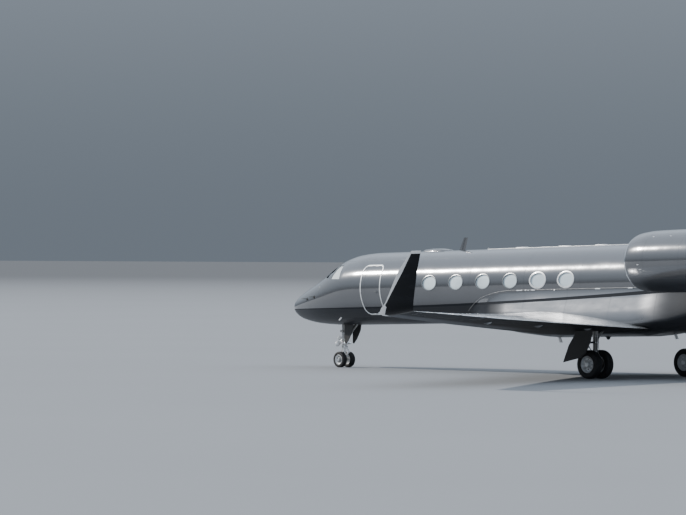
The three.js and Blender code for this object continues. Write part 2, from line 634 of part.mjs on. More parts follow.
const dorsal = loft([
  [20700, 30, 1100], [23300, 110, 1800],
].map(([s, half, top]) => [[s, -half, 700], [s, half, 700], [s, half * 0.4, top], [s, -half * 0.4, top]]));

// Tailplane with its bullet, and the elevators
const TAIL_Z = 4400;
const TAIL_ROWS = [
  { y: -5360, le: 28390, te: 29390, z: TAIL_Z, thick: 0.09 },
  { y: 0, le: 25040, te: 27640, z: TAIL_Z, thick: 0.1 },
  { y: 5360, le: 28390, te: 29390, z: TAIL_Z, thick: 0.09 },
];
const ELEVATOR_LINE = [[27040, 420], [29020, 5150]];
const ELEVATOR_NOSE = [100, 42];
const bullet = turned([
  [0, 0], [120, 90], [500, 190], [1100, 235], [2200, 230], [3000, 150], [3600, 40], [3700, 0],
], 'x', [24900, 0, TAIL_Z], 14);
const tailLoft = loft(TAIL_ROWS.map(foilRing)).add(bullet);
const elevatorAxis = ELEVATOR_LINE.map(([s, y]) => [s, y, TAIL_Z]);
const elevatorLong = lengthened(elevatorAxis, RUN);
const elevator = tailLoft.intersect(
  behind(ELEVATOR_LINE, [0, 2500], 0, 0).intersect(box(20000, 30000, 0, 6000, 0, 8000))
    .add(bar(elevatorAxis[0], elevatorAxis[1], ...ELEVATOR_NOSE, 24)),
);
const elevatorRoom = behind(ELEVATOR_LINE, [0, 2500], -RUN, RUN)
  .add(bar(elevatorLong[0], elevatorLong[1], ELEVATOR_NOSE[0] + RUN, ELEVATOR_NOSE[1] + RUN, 24));
let tailplane = tailLoft;
for (const side of [-1, 1]) {
  tailplane = tailplane.subtract(mirrored(elevatorRoom, side));
  for (const pin of hingePins(elevatorAxis, [26, 12])) tailplane = tailplane.add(mirrored(pin, side));
}
add('tailplane', tailplane, bodyPaint);
add('elevator_right', elevator, bodyPaint);
add('elevator_left', mirrored(elevator, -1), bodyPaint);

let fin = finLoft.add(dorsal).subtract(bodySkin).subtract(rudderRoom);
for (const pin of hingePins(rudderAxis, [30, 30])) fin = fin.add(pin);
fin = fin.subtract(tailLoft.translate([0, 0, -GAP]))
  .subtract(box(20000, 30000, -3000, 3000, TAIL_Z - 60, 6000));
add('fin', fin, bodyPaint);
add('rudder', rudder, bodyPaint);

// Nacelles, pylons, fans and engine cores
const NACELLE = { s: 18460, y: 2550, z: 570, sides: 26 };
const FAN = { s: 780, radius: 606, blades: 18 };
const nacelleRows = [
  [0, 765], [50, 825], [230, 880], [850, 935], [1900, 945], [3000, 920], [4100, 815], [5000, 695],
  [5360, 655], [5360, 630], [4400, 655], [2600, 650], [1200, 620], [600, 615], [300, 645], [80, 705],
  [0, 765],
];
const nacelleOuter = [[0, 0], ...nacelleRows.slice(0, 9), [5360, 0]]
  .map(([along, radius]) => [along, radius > 0 ? radius + GAP : 0]);

for (const [side, name] of [[-1, 'left'], [1, 'right']]) {
  const centre = [NACELLE.s, side * NACELLE.y, NACELLE.z];
  const nacelle = turned(nacelleRows, 'x', centre, NACELLE.sides);
  const nacelleSkin = turned(nacelleOuter, 'x', centre, NACELLE.sides);
  add(`nacelle_${name}`, nacelle, bodyPaint);

  const pylonRow = (y) => foilRing({ y, le: 19700, te: 23300, z: NACELLE.z, thick: 0.075 });
  const pylon = loft([pylonRow(700), pylonRow(2400)]);
  add(`pylon_${name}`, mirrored(pylon, side).subtract(bodySkin).subtract(nacelleSkin), bodyPaint);

  const spinner = turned([[-330, 0], [-300, 60], [-180, 135], [0, 190], [150, 200], [150, 0]], 'x', [0, 0, 0], 12);
  let fan = spinner;
  for (let i = 0; i < FAN.blades; i++) {
    const blade = box(-8, 8, -70, 70, 150, FAN.radius)
      .rotate([0, 0, 38]).translate([65, 0, 0]).rotate([(360 * i) / FAN.blades, 0, 0]);
    fan = fan.add(blade);
  }
  add(`fan_${name}`, fan.translate([NACELLE.s + FAN.s, centre[1], centre[2]]), darkMetal);

  let core = turned([
    [FAN.s + 150 + GAP, 0], [FAN.s + 150 + GAP, 200], [1400, 430], [4200, 430], [5000, 330], [5500, 90], [5560, 0],
  ], 'x', centre, 20);
  for (let i = 0; i < 6; i++) {
    const strut = box(1500, 1750, -14, 14, 300, 700).rotate([60 * i + 30, 0, 0]).translate(centre);
    core = core.add(strut);
  }
  const duct = turned([[100, 0], [100, 620 - GAP], [1200, 620 - GAP], [2600, 650 - GAP], [5800, 630 - GAP], [5800, 0]],
    'x', centre, NACELLE.sides);
  add(`engine_core_${name}`, core.intersect(duct), darkMetal);
}

// Roof: antenna fairing and blade antenna
const hump = loft([
  [6200, 20, 1170], [6420, 190, 1245], [6800, 230, 1272], [7250, 220, 1268], [7560, 150, 1225], [7630, 40, 1180],
].map(([s, half, top]) => [[s, -half, 1050], [s, half, 1050], [s, half * 0.75, top - 30], [s, half * 0.3, top],
  [s, -half * 0.3, top], [s, -half * 0.75, top - 30]]));
add('antenna_fairing', hump.subtract(bodySkin), bodyPaint);
const blade = loft([
  [1100, 7900, 8200, 26], [1600, 8170, 8360, 10],
].map(([z, from, to, half]) => [[from, 0, z], [(from + to) / 2, half, z], [to, 0, z], [(from + to) / 2, -half, z]]));
add('antenna_blade', blade.subtract(bodySkin), gearPaint);

// Landing gear, drawn upright: x from the main gear, z from the ground
const NOSE_GEAR_X = NOSE_GEAR - MAIN_GEAR;
const toGround = (body) => body.translate([-MAIN_GEAR, 0, 0])
  .rotate([0, (-NOSE_DOWN * 180) / Math.PI, 0]).translate([0, 0, AXIS_HEIGHT]);

function tyreAt(tyre, x, y) {
  const [r, w, b] = [tyre.radius, tyre.width / 2, tyre.rim];
  const rows = [
    [-w * 0.8, b + GAP], [-w, b + 45], [-w * 0.97, r - 60], [-w * 0.72, r - 16], [-w * 0.3, r], [w * 0.3, r],
    [w * 0.72, r - 16], [w * 0.97, r - 60], [w, b + 45], [w * 0.8, b + GAP], [-w * 0.8, b + GAP],
  ];
  return turned(rows, 'y', [x, y, tyre.radius], tyre.sides);
}

// A rim: a drum with a dished web outside, and a ring of round holes through the web.
function rimAt(tyre, x, y, side, bore) {
  const [w, b] = [tyre.width / 2, tyre.rim];
  const rows = [
    [-w * 0.8, b], [-w * 0.8, b * 0.86], [-w * 0.1, b * 0.8], [-w * 0.1, b * 0.36], [-w * 0.9, b * 0.3],
    [-w * 0.9, bore], [w * 0.9, bore], [w * 0.9, b * 0.3], [w * 0.45, b * 0.36], [w * 0.45, b * 0.74],
    [w * 0.8, b], [-w * 0.8, b],
  ];
  let rim = turned(rows.map(([a, r]) => [a * side, r]), 'y', [x, y, tyre.radius], tyre.sides);
  for (let i = 0; i < tyre.holes; i++) {
    const turn = (2 * Math.PI * i) / tyre.holes;
    const at = (out) => [
      x + b * 0.56 * Math.cos(turn), y + side * w * out, tyre.radius + b * 0.56 * Math.sin(turn),
    ];
    rim = rim.subtract(bar(at(-0.3), at(0.6), b * 0.105, b * 0.105, 6));
  }
  return rim;
}

const MAIN_LEG = { upper: 78, lower: 56, axle: 50, axleEnd: 395, hub: 92, joint: 900, top: 1640 };
const MAIN_DOOR = { inner: 2820, outer: 2850 };
const NOSE_LEG = { upper: 80, lower: 52, axle: 36, axleEnd: 285, hub: 62, joint: 760, top: 1790 };
const boreFor = (axle, sides) => (axle + GAP) / Math.cos(Math.PI / sides);
const wingInGround = (side) => toGround(mirrored(fullWing.subtract(flapRoom), side).translate([0, 0, -GAP]));
const between = (a, b) => [Math.min(a, b), Math.max(a, b)];

for (const [side, name] of [[-1, 'left'], [1, 'right']]) {
  const y = (side * TRACK) / 2;
  const r = MAIN_TYRE.radius;
  const { upper, lower, axle, axleEnd, hub, joint, top } = MAIN_LEG;
  let leg = bar([0, y, joint - 80], [0, y, top], upper, upper + 10, 16)
    .add(bar([0, y, r], [0, y, joint], lower, lower, 14))
    .add(bar([0, y - axleEnd, r], [0, y + axleEnd, r], axle, axle, 16))
    .add(bar([0, y - 110, r], [0, y + 110, r], hub, hub, 14))
    .add(slab([[20, 470], [200, 640], [20, 660]], 'y', y - 45, y + 45))
    .add(slab([[20, 690], [205, 655], [20, 900]], 'y', y - 45, y + 45))
    .add(bar([0, y, 1130], [0, y - side * 480, top], 36, 36, 12));
  leg = leg.subtract(wingInGround(side)).subtract(toGround(fairingSkin));
  add(`main_leg_${name}`, leg, gearPaint, 'ground');

  const plate = slab([[-240, top], [-240, 1370], [-500, 1030], [-740, 500], [-30, 650], [230, 810], [420, 1180],
    [530, top]], 'y', side * MAIN_DOOR.inner, side * MAIN_DOOR.outer);
  const linkEnds = between(side * (TRACK / 2 + upper - 3), side * (MAIN_DOOR.inner + 10));
  const link = box(-60, 60, ...linkEnds, 1090, 1150);
  const room = bar([0, y, 400], [0, y, top + 60], upper + 7, upper + 17, 20);
  const legDoor = plate.add(link).subtract(room).subtract(wingInGround(side));
  add(`main_leg_door_${name}`, legDoor, darkMetal, 'ground');

  for (const [place, spot] of [[-1, 'inner'], [1, 'outer']]) {
    const at = y + (side * place * MAIN_TYRE.spacing) / 2;
    const bore = boreFor(axle, MAIN_TYRE.sides);
    add(`main_tyre_${name}_${spot}`, tyreAt(MAIN_TYRE, 0, at), tyreRubber, 'ground');
    add(`main_rim_${name}_${spot}`, rimAt(MAIN_TYRE, 0, at, side * place, bore), rimMetal, 'ground');
  }
}

const noseR = NOSE_TYRE.radius;
const noseShellInGround = toGround(
  bodyBetween(RADOME_END + GAP, NOSE_END).subtract(noseLegBay).translate([-GAP, 0, -GAP]),
);
const nose = NOSE_LEG;
const noseLeg = bar([NOSE_GEAR_X, 0, nose.joint], [NOSE_GEAR_X, 0, nose.top], nose.upper, nose.upper, 16)
  .add(bar([NOSE_GEAR_X, 0, 830], [NOSE_GEAR_X + 860, 0, 1680], 34, 34, 12))
  .add(box(NOSE_GEAR_X - 60, NOSE_GEAR_X + 60, -140, 140, 1180, 1260));
add('nose_leg', noseLeg.subtract(noseShellInGround), gearPaint, 'ground');

const noseFork = bar([NOSE_GEAR_X, 0, noseR], [NOSE_GEAR_X, 0, nose.joint - GAP], nose.lower, nose.lower, 14)
  .add(bar([NOSE_GEAR_X, 0, 640], [NOSE_GEAR_X, 0, nose.joint - GAP], 84, 84, 16))
  .add(bar([NOSE_GEAR_X, -nose.axleEnd, noseR], [NOSE_GEAR_X, nose.axleEnd, noseR], nose.axle, nose.axle, 16))
  .add(bar([NOSE_GEAR_X, -92, noseR], [NOSE_GEAR_X, 92, noseR], nose.hub, nose.hub, 14))
  .add(slab([[NOSE_GEAR_X - 40, 300], [NOSE_GEAR_X - 150, 460], [NOSE_GEAR_X - 40, 480]], 'y', -30, 30))
  .add(slab([[NOSE_GEAR_X - 40, 500], [NOSE_GEAR_X - 150, 475], [NOSE_GEAR_X - 40, 700]], 'y', -30, 30));
add('nose_fork', noseFork, gearPaint, 'ground');

// The two doors hang from the side walls of the nose gear bay, aft of the leg.
const noseDoorOutline = [[230, 1610], [640, 1620], [640, 1430], [600, 1240], [430, 960], [280, 800], [230, 840]]
  .map(([x, z]) => [NOSE_GEAR_X + x, z]);
for (const [side, name] of [[-1, 'left'], [1, 'right']]) {
  const y = (side * NOSE_TYRE.spacing) / 2;
  const bore = boreFor(nose.axle, NOSE_TYRE.sides);
  add(`nose_tyre_${name}`, tyreAt(NOSE_TYRE, NOSE_GEAR_X, y), tyreRubber, 'ground');
  add(`nose_rim_${name}`, rimAt(NOSE_TYRE, NOSE_GEAR_X, y, side, bore), gearPaint, 'ground');
  const wall = side * (NOSE_BAY.half - GAP);
  const door = slab(noseDoorOutline, 'y', ...between(wall, wall - side * 24));
  add(`nose_gear_door_${name}`, door, darkMetal, 'ground');
}

const jet = new THREE.Group();
const airframe = new THREE.Group();
const stations = new THREE.Group();
const ground = new THREE.Group();
airframe.position.set(MAIN_GEAR_X, 0, AXIS_HEIGHT);
airframe.rotation.y = -NOSE_DOWN;
stations.position.x = -MAIN_GEAR;
ground.position.x = MAIN_GEAR_X;
airframe.add(stations);
jet.add(airframe, ground);
for (const { name, body, material, group } of pieces) {
  const mesh = new THREE.Mesh(geometryOf(body), material);
  mesh.name = name;
  (group === 'ground' ? ground : stations).add(mesh);
}

export default jet;
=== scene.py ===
"""The finish of a large-cabin business jet: paint, glass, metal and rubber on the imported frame, and the small
pieces that its solids leave out. It is laid out as an add-on, with one operator for each group of pieces."""
import json
import math

import bmesh
import bpy
from mathutils import Matrix, Vector


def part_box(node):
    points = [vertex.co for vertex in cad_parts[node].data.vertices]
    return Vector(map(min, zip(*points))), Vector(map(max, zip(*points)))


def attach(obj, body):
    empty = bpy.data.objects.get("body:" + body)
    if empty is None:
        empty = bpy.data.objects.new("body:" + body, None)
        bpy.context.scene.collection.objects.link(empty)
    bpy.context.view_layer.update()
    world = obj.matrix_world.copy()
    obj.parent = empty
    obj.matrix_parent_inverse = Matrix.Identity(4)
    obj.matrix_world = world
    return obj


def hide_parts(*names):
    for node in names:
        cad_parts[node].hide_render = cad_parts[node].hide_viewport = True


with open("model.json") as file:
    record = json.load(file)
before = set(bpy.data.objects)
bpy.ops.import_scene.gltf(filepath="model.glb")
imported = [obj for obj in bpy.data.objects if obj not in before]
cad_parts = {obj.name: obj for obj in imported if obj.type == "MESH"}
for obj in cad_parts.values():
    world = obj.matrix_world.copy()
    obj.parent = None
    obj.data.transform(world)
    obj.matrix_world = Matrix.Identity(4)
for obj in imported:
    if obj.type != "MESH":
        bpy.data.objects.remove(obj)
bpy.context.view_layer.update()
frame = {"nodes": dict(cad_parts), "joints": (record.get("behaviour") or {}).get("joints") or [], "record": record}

bl_info = {
    "name": "Business jet",
    "version": (1, 0, 0),
    "blender": (4, 5, 0),
    "location": "3D View > Sidebar > Jet",
    "description": "Finishes the pieces of a business jet and sets its stage",
    "category": "Object",
}

# The airframe is described by station: distance aft of the nose tip, distance to starboard, and height over the
# fuselage axis, in metres. PLACE takes a point from there to where the jet stands.
MAIN_GEAR = 16.18
AXIS_HEIGHT = 2.9695
SIDES = {"left": -1, "right": 1}
WINDOWS = {"first": 6.493, "pitch": 1.237, "height": 0.13, "ring": (0.680, 0.503), "exit_ring": (0.742, 0.545)}
DOORWAY = {"low": (4.48, -0.83), "high": (5.37, 0.74), "corner": 0.16}
PORT_OF_SKIN = -1.4  # where flat trim starts, before it is pressed onto the skin
WING_RIBS = 1.72
NACELLE = {"station": 18.46, "out": 2.55, "height": 0.57}  # of its front centre
NACELLE_LIP, NACELLE_RING = 0.11, 5.02  # where the bare metal ends and starts again, aft of the front
FAN = {"along": 0.78, "root": 0.165, "tip": 0.604, "blades": 24}
BLADE = {"camber": 24, "twist": 34, "pitch": 22}  # degrees
VANES = 30
MAIN_TYRE = (0.4445, 0.14, 0.2653)  # radius, half width, bead radius
NOSE_TYRE = (0.2665, 0.089, 0.1723)
FAIRING_EDGE = [  # station and height
    (9.25, -0.80), (9.45, -0.69), (10.0, -0.42), (10.55, -0.27), (11.3, -0.18), (12.6, -0.17), (16.8, -0.17),
    (18.3, -0.19), (19.6, -0.29), (20.3, -0.43),
]
FAIRING_PLATES = [  # station and length
    (11.75, 0.26), (12.12, 0.07), (12.24, 0.07), (12.40, 0.17), (13.4, 0.06), (15.2, 0.22), (16.6, 0.2),
]
FAIRING_PLATE_HEIGHT = -0.185
WICKS = {  # the feet of a side's static wicks, on the trailing edges
    "aileron": [(19.19, 10.0, -1.062), (19.50, 11.3, -0.997), (19.80, 12.6, -0.932)],
    "elevator": [(27.775, 2.0, 4.40), (28.181, 3.0, 4.40), (28.586, 4.0, 4.40)],
}
LAMPS = ((-0.17, 0.15, 0.80, 0.094), (-0.16, 0.078, 0.985, 0.068))  # aft of the leg, out, height, radius
SEAT = {"out": 0.52, "lean": math.radians(6), "hinge": (3.80, 0, -0.33), "fill": 0.7}
PAD_VOXEL = 0.009
PAD_PRESSURE = 4
PAD_STEPS = 20
PAD_CHANNELS = (-0.24, 0.24)  # shares of its width
PANEL_LEAN = math.atan2(0.48, 0.12)  # the instrument panel's rise and run

# The stripe rises with the square of the distance aft of its start, and widens with the station.
STRIPE = {"start": 4.0, "height": -0.635, "bend": 0.0017, "half_width": 0.012, "widening": 0.0026}
# Edges that the paint follows: the station at the middle plane, or at the axis's height, and the slope.
WING_FRONT = (10.56, 0.6)
WING_BACK = (16.88, 0.2322)
FIN_FRONT = (22.145, 0.6505)
TAIL_FRONT = (25.04, 0.625)
WINGLET_FRONT = (19.81116, 1.018)
WINGLET_CAP = 0.72  # the heights over which the cap's and the tailplane's metal start
TAIL_LEVEL = 4.1
BARE_STRIP = {"wing": 0.19, "winglet": 0.085, "fin": 0.14, "tail": 0.12}  # widths along the flow
AFT_SHADE = (16.9, 18.5)  # stations between which the lower side falls into shade
SEAMS = {  # the first ring and the pitch of the panels, and the heights of the two long joints
    "body": (7.11, 2.474, 0.92, -0.93),
    "fairing": (10.2, 1.9, -0.2, -1.3),
    "tail": (18.4, 1.6, 0.95, 0.1),
    "nacelle": (19.35, 1.45, 0.57, 0.57),
    "fin": (23.2, 1.3, 2.1, 3.3),
}

SENSOR_WIDTH = 36  # mm
SUN_FROM = Vector((-0.760, -0.400, 0.512))
SUN_WIDTH = math.radians(0.8)
CAMERA = {
    "place": Vector((86.854, -91.21, 3.65)),
    "yaw": math.radians(47.4),
    "pitch": math.radians(0.02),
    "roll": math.radians(0.29),
}


def joint_axis(name):
    """The direction of a joint's axis at rest."""
    return Vector(next(j["axis"] for j in frame["joints"] if j["name"] == name))


def middle(node):
    """The middle of a node's box."""
    low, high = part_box(node)
    return (low + high) / 2


THRUST_LINE = joint_axis("fan_left_spin")
NOSE_DOWN = math.atan2(THRUST_LINE.z, THRUST_LINE.x)
MAIN_GEAR_X = middle("main_tyre_left_outer").x
MAIN_LEG_OUT = (middle("main_tyre_right_outer").y + middle("main_tyre_right_inner").y) / 2
NOSE_GEAR_X = middle("nose_tyre_left").x
PLACE = (
    Matrix.Translation((MAIN_GEAR_X, 0, AXIS_HEIGHT))
    @ Matrix.Rotation(-NOSE_DOWN, 4, "Y")
    @ Matrix.Translation((-MAIN_GEAR, 0, 0))
)
TO_STATION = PLACE.inverted()

# Fuselage: station, half width, top, bottom, and the height of its widest line.
HULL_LINES = [
    (0.0, 0.012, -0.558, -0.582, -0.570),
    (0.06, 0.175, -0.400, -0.720, -0.570),
    (0.2, 0.310, -0.270, -0.830, -0.560),
    (0.5, 0.480, -0.110, -0.970, -0.530),
    (1.05, 0.700, 0.115, -1.085, -0.450),
    (1.5, 0.850, 0.290, -1.140, -0.390),
    (2.0, 0.975, 0.520, -1.170, -0.310),
    (2.5, 1.065, 0.810, -1.188, -0.220),
    (3.0, 1.130, 1.030, -1.195, -0.120),
    (3.5, 1.172, 1.140, -1.195, -0.040),
    (4.3, 1.195, 1.195, -1.195, 0.0),
    (17.0, 1.195, 1.195, -1.195, 0.0),
    (19.0, 1.160, 1.190, -1.020, 0.070),
    (21.0, 1.020, 1.160, -0.720, 0.200),
    (23.0, 0.820, 1.080, -0.380, 0.340),
    (25.0, 0.580, 0.980, -0.020, 0.470),
    (26.5, 0.380, 0.880, 0.250, 0.560),
    (27.6, 0.200, 0.780, 0.450, 0.615),
]


def steepness(i, column):
    """How steeply a hull line runs from a row of the table to the next."""
    a, b = HULL_LINES[i : i + 2]
    return (b[column] - a[column]) / (b[0] - a[0])


def slope_at(i, column):
    """The slope of a hull line at a row of the table, kept from overshooting."""
    if i == 0:
        return steepness(0, column)
    before = steepness(i - 1, column)
    if i == len(HULL_LINES) - 1:
        return before
    after = steepness(i, column)
    if before * after <= 0:
        return 0.0
    return 2 * before * after / (before + after)


def hull_line(s, column):
    """One hull line at any station, as a smooth curve through the table."""
    s = min(max(s, 0.0), HULL_LINES[-1][0])
    i = max(next(i for i, row in enumerate(HULL_LINES) if row[0] >= s), 1)
    a, b = HULL_LINES[i - 1], HULL_LINES[i]
    run = b[0] - a[0]
    t = (s - a[0]) / run
    return (
        a[column] * (1 + 2 * t) * (1 - t) ** 2
        + b[column] * t**2 * (3 - 2 * t)
        + run * t * (1 - t) * (slope_at(i - 1, column) * (1 - t) - slope_at(i, column) * t)
    )


def hull_section(s, z):
    """At a station, the hull's half width, the height of its widest line, and its reach from there up or down."""
    half, top, bottom, mid = (hull_line(s, column) for column in (1, 2, 3, 4))
    return half, mid, top - mid if z > mid else mid - bottom


def hull_level(s, y, z):
    """0 on the hull's skin, more outside it and less inside."""
    half, mid, reach = hull_section(s, z)
    return (y / half) ** 2 + ((z - mid) / reach) ** 2 - 1


def hull_normal(s, y, z):
    """The outward direction of the hull at a point near its skin, by station."""
    step = 0.01
    slope = (hull_level(s + step, y, z) - hull_level(s - step, y, z)) / (2 * step)
    half, mid, reach = hull_section(s, z)
    return Vector((slope, 2 * y / half**2, 2 * (z - mid) / reach**2)).normalized()


def hull_side(s, z):
    """How far the skin is from the middle plane at a station and height."""
    half, mid, reach = hull_section(s, z)
    return half * math.sqrt(max(1 - ((z - mid) / reach) ** 2, 0.0))


def on_hull(s, z, sign, out=0.0):
    """A point on the hull's skin at a station and height, or a little outside it."""
    spot = Vector((s, sign * hull_side(s, z), z))
    return spot + hull_normal(*spot) * out


# Modelling helpers


def clear_selection():
    """Leaves edit mode, with nothing selected."""
    if bpy.context.object and bpy.context.object.mode != "OBJECT":
        bpy.ops.object.mode_set(mode="OBJECT")
    bpy.ops.object.select_all(action="DESELECT")


def take(piece):
    """Makes a piece the only selected and active one."""
    clear_selection()
    piece.select_set(True)
    bpy.context.view_layer.objects.active = piece
    return piece


def named(piece, name):
    """Gives a piece and its mesh a name."""
    piece.name = piece.data.name = name
    return piece


def added(name):
    """Names what was just added or joined."""
    return named(bpy.context.object, name)


def discard(*pieces):
    """Removes patterns and tools that are no longer needed."""
    for piece in pieces:
        bpy.data.objects.remove(piece)


def edit(piece):
    """Opens a piece in edit mode with all of it selected."""
    take(piece)
    bpy.ops.object.mode_set(mode="EDIT")
    bpy.ops.mesh.select_mode(type="VERT")
    bpy.ops.mesh.select_all(action="SELECT")


def pick(piece, test, kind="VERT"):
    """In edit mode, selects the corners, edges or faces whose middle passes a test."""
    bpy.ops.mesh.select_all(action="DESELECT")
    bpy.ops.mesh.select_mode(type=kind)
    mesh = bmesh.from_edit_mesh(piece.data)
    parts = {"VERT": mesh.verts, "EDGE": mesh.edges, "FACE": mesh.faces}[kind]
    for part in parts:
        if kind == "VERT":
            found = test(part.co)
        elif kind == "EDGE":
            found = test((part.verts[0].co + part.verts[1].co) / 2)
        else:
            found = test(part.calc_center_median(), part.normal)
        part.select_set(found)
    mesh.select_flush_mode()
    bmesh.update_edit_mesh(piece.data)


def apply_modifier(piece, kind, **settings):
    """Adds a modifier to a piece, sets it and applies it."""
    take(piece)
    bpy.ops.object.modifier_add(type=kind)
    modifier = piece.modifiers[-1]
    for key, value in settings.items():
        setattr(modifier, key, value)
    bpy.ops.object.modifier_apply(modifier=modifier.name)


def thicken(piece, thickness, bevel):
    """Gives a flat piece a thickness, and rounds its edges."""
    apply_modifier(piece, "SOLIDIFY", thickness=thickness, offset=0)
    apply_modifier(piece, "BEVEL", width=bevel, segments=2, limit_method="ANGLE", angle_limit=math.radians(50))


def moved(piece, matrix):
    """Places a piece's mesh, and leaves the object at the origin."""
    take(piece)
    bpy.ops.object.transform_apply(location=True, rotation=True, scale=True)
    piece.data.transform(matrix)
    return piece


def copied(piece, name, matrix=None):
    """A copy of a piece with its own mesh, turned or moved by a matrix."""
    made = bpy.data.objects.new(name, piece.data.copy())
    made.data.name = name
    bpy.context.scene.collection.objects.link(made)
    if matrix is not None:
        made.data.transform(matrix)
    return made


def joined(pieces, name):
    """Joins pieces into one."""
    take(pieces[0])
    for piece in pieces[1:]:
        piece.select_set(True)
    bpy.ops.object.join()
    return added(name)


def ringed(pattern, count, start=0.0):
    """Copies of a pattern, evenly spread round the X axis."""
    turns = [Matrix.Rotation(math.tau * (i + start) / count, 4, "X") for i in range(count)]
    return [copied(pattern, pattern.name, turn) for turn in turns]


def tidy(piece):
    """Merges doubled corners and turns the faces outwards."""
    edit(piece)
    bpy.ops.mesh.remove_doubles(threshold=1e-5)
    bpy.ops.mesh.normals_make_consistent(inside=False)
    clear_selection()
    return piece


def rounded_rows(rows, cuts=3):
    """The given rows with more between them, on a smooth curve through all of them."""
    made = []
    last = len(rows) - 1
    for i in range(last):
        a, b, c, d = (Vector(rows[min(max(j, 0), last)]) for j in (i - 1, i, i + 1, i + 2))
        for k in range(cuts):
            t = k / cuts
            bend = (2 * a - 5 * b + 4 * c - d) * t**2 + (3 * b - 3 * c + d - a) * t**3
            made.append(0.5 * (2 * b + (c - a) * t + bend))
    return [tuple(row) for row in made] + [tuple(rows[last])]


def lathe(name, rows, steps=64):
    """Spins an outline, given as (distance along X, radius), round the X axis."""
    clear_selection()
    bpy.ops.mesh.primitive_plane_add(size=0.01)
    edit(bpy.context.object)
    bpy.ops.mesh.merge(type="CENTER")
    bpy.ops.transform.translate(value=(rows[0][0], 0, rows[0][1]))
    for before, after in zip(rows, rows[1:]):
        step = (after[0] - before[0], 0, after[1] - before[1])
        bpy.ops.mesh.extrude_region_move(TRANSFORM_OT_translate={"value": step})
    bpy.ops.mesh.select_all(action="SELECT")
    bpy.ops.mesh.spin(steps=steps, angle=math.tau, center=(0, 0, 0), axis=(1, 0, 0))
    return tidy(added(name))


def tube(name, points, radius, sides=3):
    """A round bar bent through points, with closed ends."""
    line = bpy.data.curves.new(name, "CURVE")
    line.dimensions = "3D"
    line.bevel_depth = radius
    line.bevel_resolution = sides
    line.use_fill_caps = True
    spline = line.splines.new("POLY")
    spline.points.add(len(points) - 1)
    for spot, point in zip(points, spline.points):
        point.co = (*spot, 1)
    bar = bpy.data.objects.new(name, line)
    bpy.context.scene.collection.objects.link(bar)
    take(bar)
    bpy.ops.object.convert(target="MESH")
    return tidy(added(name))


def block(name, low, high, bevel=0.01, segments=3):
    """A box between two corners with rounded edges."""
    clear_selection()
    bpy.ops.mesh.primitive_cube_add(size=1)
    piece = added(name)
    piece.scale = Vector(high) - Vector(low)
    piece.location = (Vector(high) + Vector(low)) / 2
    bpy.ops.object.transform_apply(location=True, rotation=True, scale=True)
    apply_modifier(piece, "BEVEL", width=bevel, segments=segments)
    return piece


def fill_with(piece, index, test):
    """Gives the faces that pass a test another of the piece's materials."""
    for face in piece.data.polygons:
        if test(face.center, face.normal):
            face.material_index = index
    return piece


def smooth(piece, degrees=35):
    """Smooth shading with sharp edges over an angle."""
    take(piece)
    bpy.ops.object.shade_smooth_by_angle(angle=math.radians(degrees))
    return piece


def finish(piece, body, look, degrees=35, stands_for=()):
    """Gives a piece the finish or finishes of its look, puts it on its body, and hides the nodes that it stands
    for.
    """
    smooth(piece, degrees)
    piece.data.materials.clear()
    for one in look if isinstance(look, list) else [look]:
        piece.data.materials.append(FINISHES[one])
    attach(piece, body)
    if stands_for:
        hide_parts(*stands_for)
    return piece


def built(parts, name, look, body="airframe", place=None):
    """Joins parts into a finished piece, and puts it in its place if one is given."""
    piece = joined(parts, name)
    if place is not None:
        moved(piece, place)
    return finish(piece, body, look)


def body_with(node):
    """The body that a node is on."""
    bodies = frame["record"]["behaviour"]["bodies"]
    return next(name for name, nodes in bodies.items() if node in nodes)


def dressed(node, look, degrees=35):
    """A copy of a CAD node with its corners merged and its skin smooth, which stands for the node."""
    made = copied(frame["nodes"][node], node + "_skin")
    edit(made)
    bpy.ops.mesh.customdata_custom_splitnormals_clear()
    bpy.ops.mesh.remove_doubles(threshold=2e-5)
    clear_selection()
    return finish(made, body_with(node), look, degrees, stands_for=[node])


def evened(piece):
    """Weights the shading towards the large faces, which keeps long flat panels flat."""
    apply_modifier(piece, "WEIGHTED_NORMAL", keep_sharp=True, weight=80)
    return piece


def round_like_hull(piece):
    """Shades the faces that lie on the hull as the smooth hull they stand for."""
    mesh = piece.data
    kept = Vector((0, 0, 0))  # a zero normal stands for the mesh's own
    near = 0.06
    turn = PLACE.to_3x3()
    normals = []
    known = {}
    for face in mesh.polygons:
        facing = TO_STATION.to_3x3() @ face.normal
        for index in face.vertices:
            if index not in known:
                spot = TO_STATION @ mesh.vertices[index].co
                level = abs(hull_level(*spot))
                known[index] = hull_normal(*spot) if level < near else None
            hull = known[index]
            normals.append(turn @ hull if hull is not None and hull.dot(facing) > 0.85 else kept)
    mesh.normals_split_custom_set(normals)
    return piece


# Shader helpers


def feed(tree, value, socket):
    """Links a socket to another, or sets it to a plain value."""
    if isinstance(value, bpy.types.NodeSocket):
        tree.links.new(value, socket)
    else:
        socket.default_value = value


def maths(tree, operation, *values):
    """The result of a Math node."""
    made = tree.nodes.new("ShaderNodeMath")
    made.operation = operation
    for value, socket in zip(values, made.inputs):
        feed(tree, value, socket)
    return made.outputs["Value"]


def line_at(tree, along, line):
    """Where a straight line, given by its start and slope, has got to."""
    start, slope = line
    return maths(tree, "MULTIPLY_ADD", along, slope, start)


def ramp(tree, value, start, end, low=0.0, high=1.0):
    """A value eased from low at start to high at end."""
    made = tree.nodes.new("ShaderNodeMapRange")
    made.interpolation_type = "SMOOTHSTEP"
    given = {"Value": value, "From Min": start, "From Max": end, "To Min": low, "To Max": high}
    for label, one in given.items():
        feed(tree, one, made.inputs[label])
    return made.outputs["Result"]


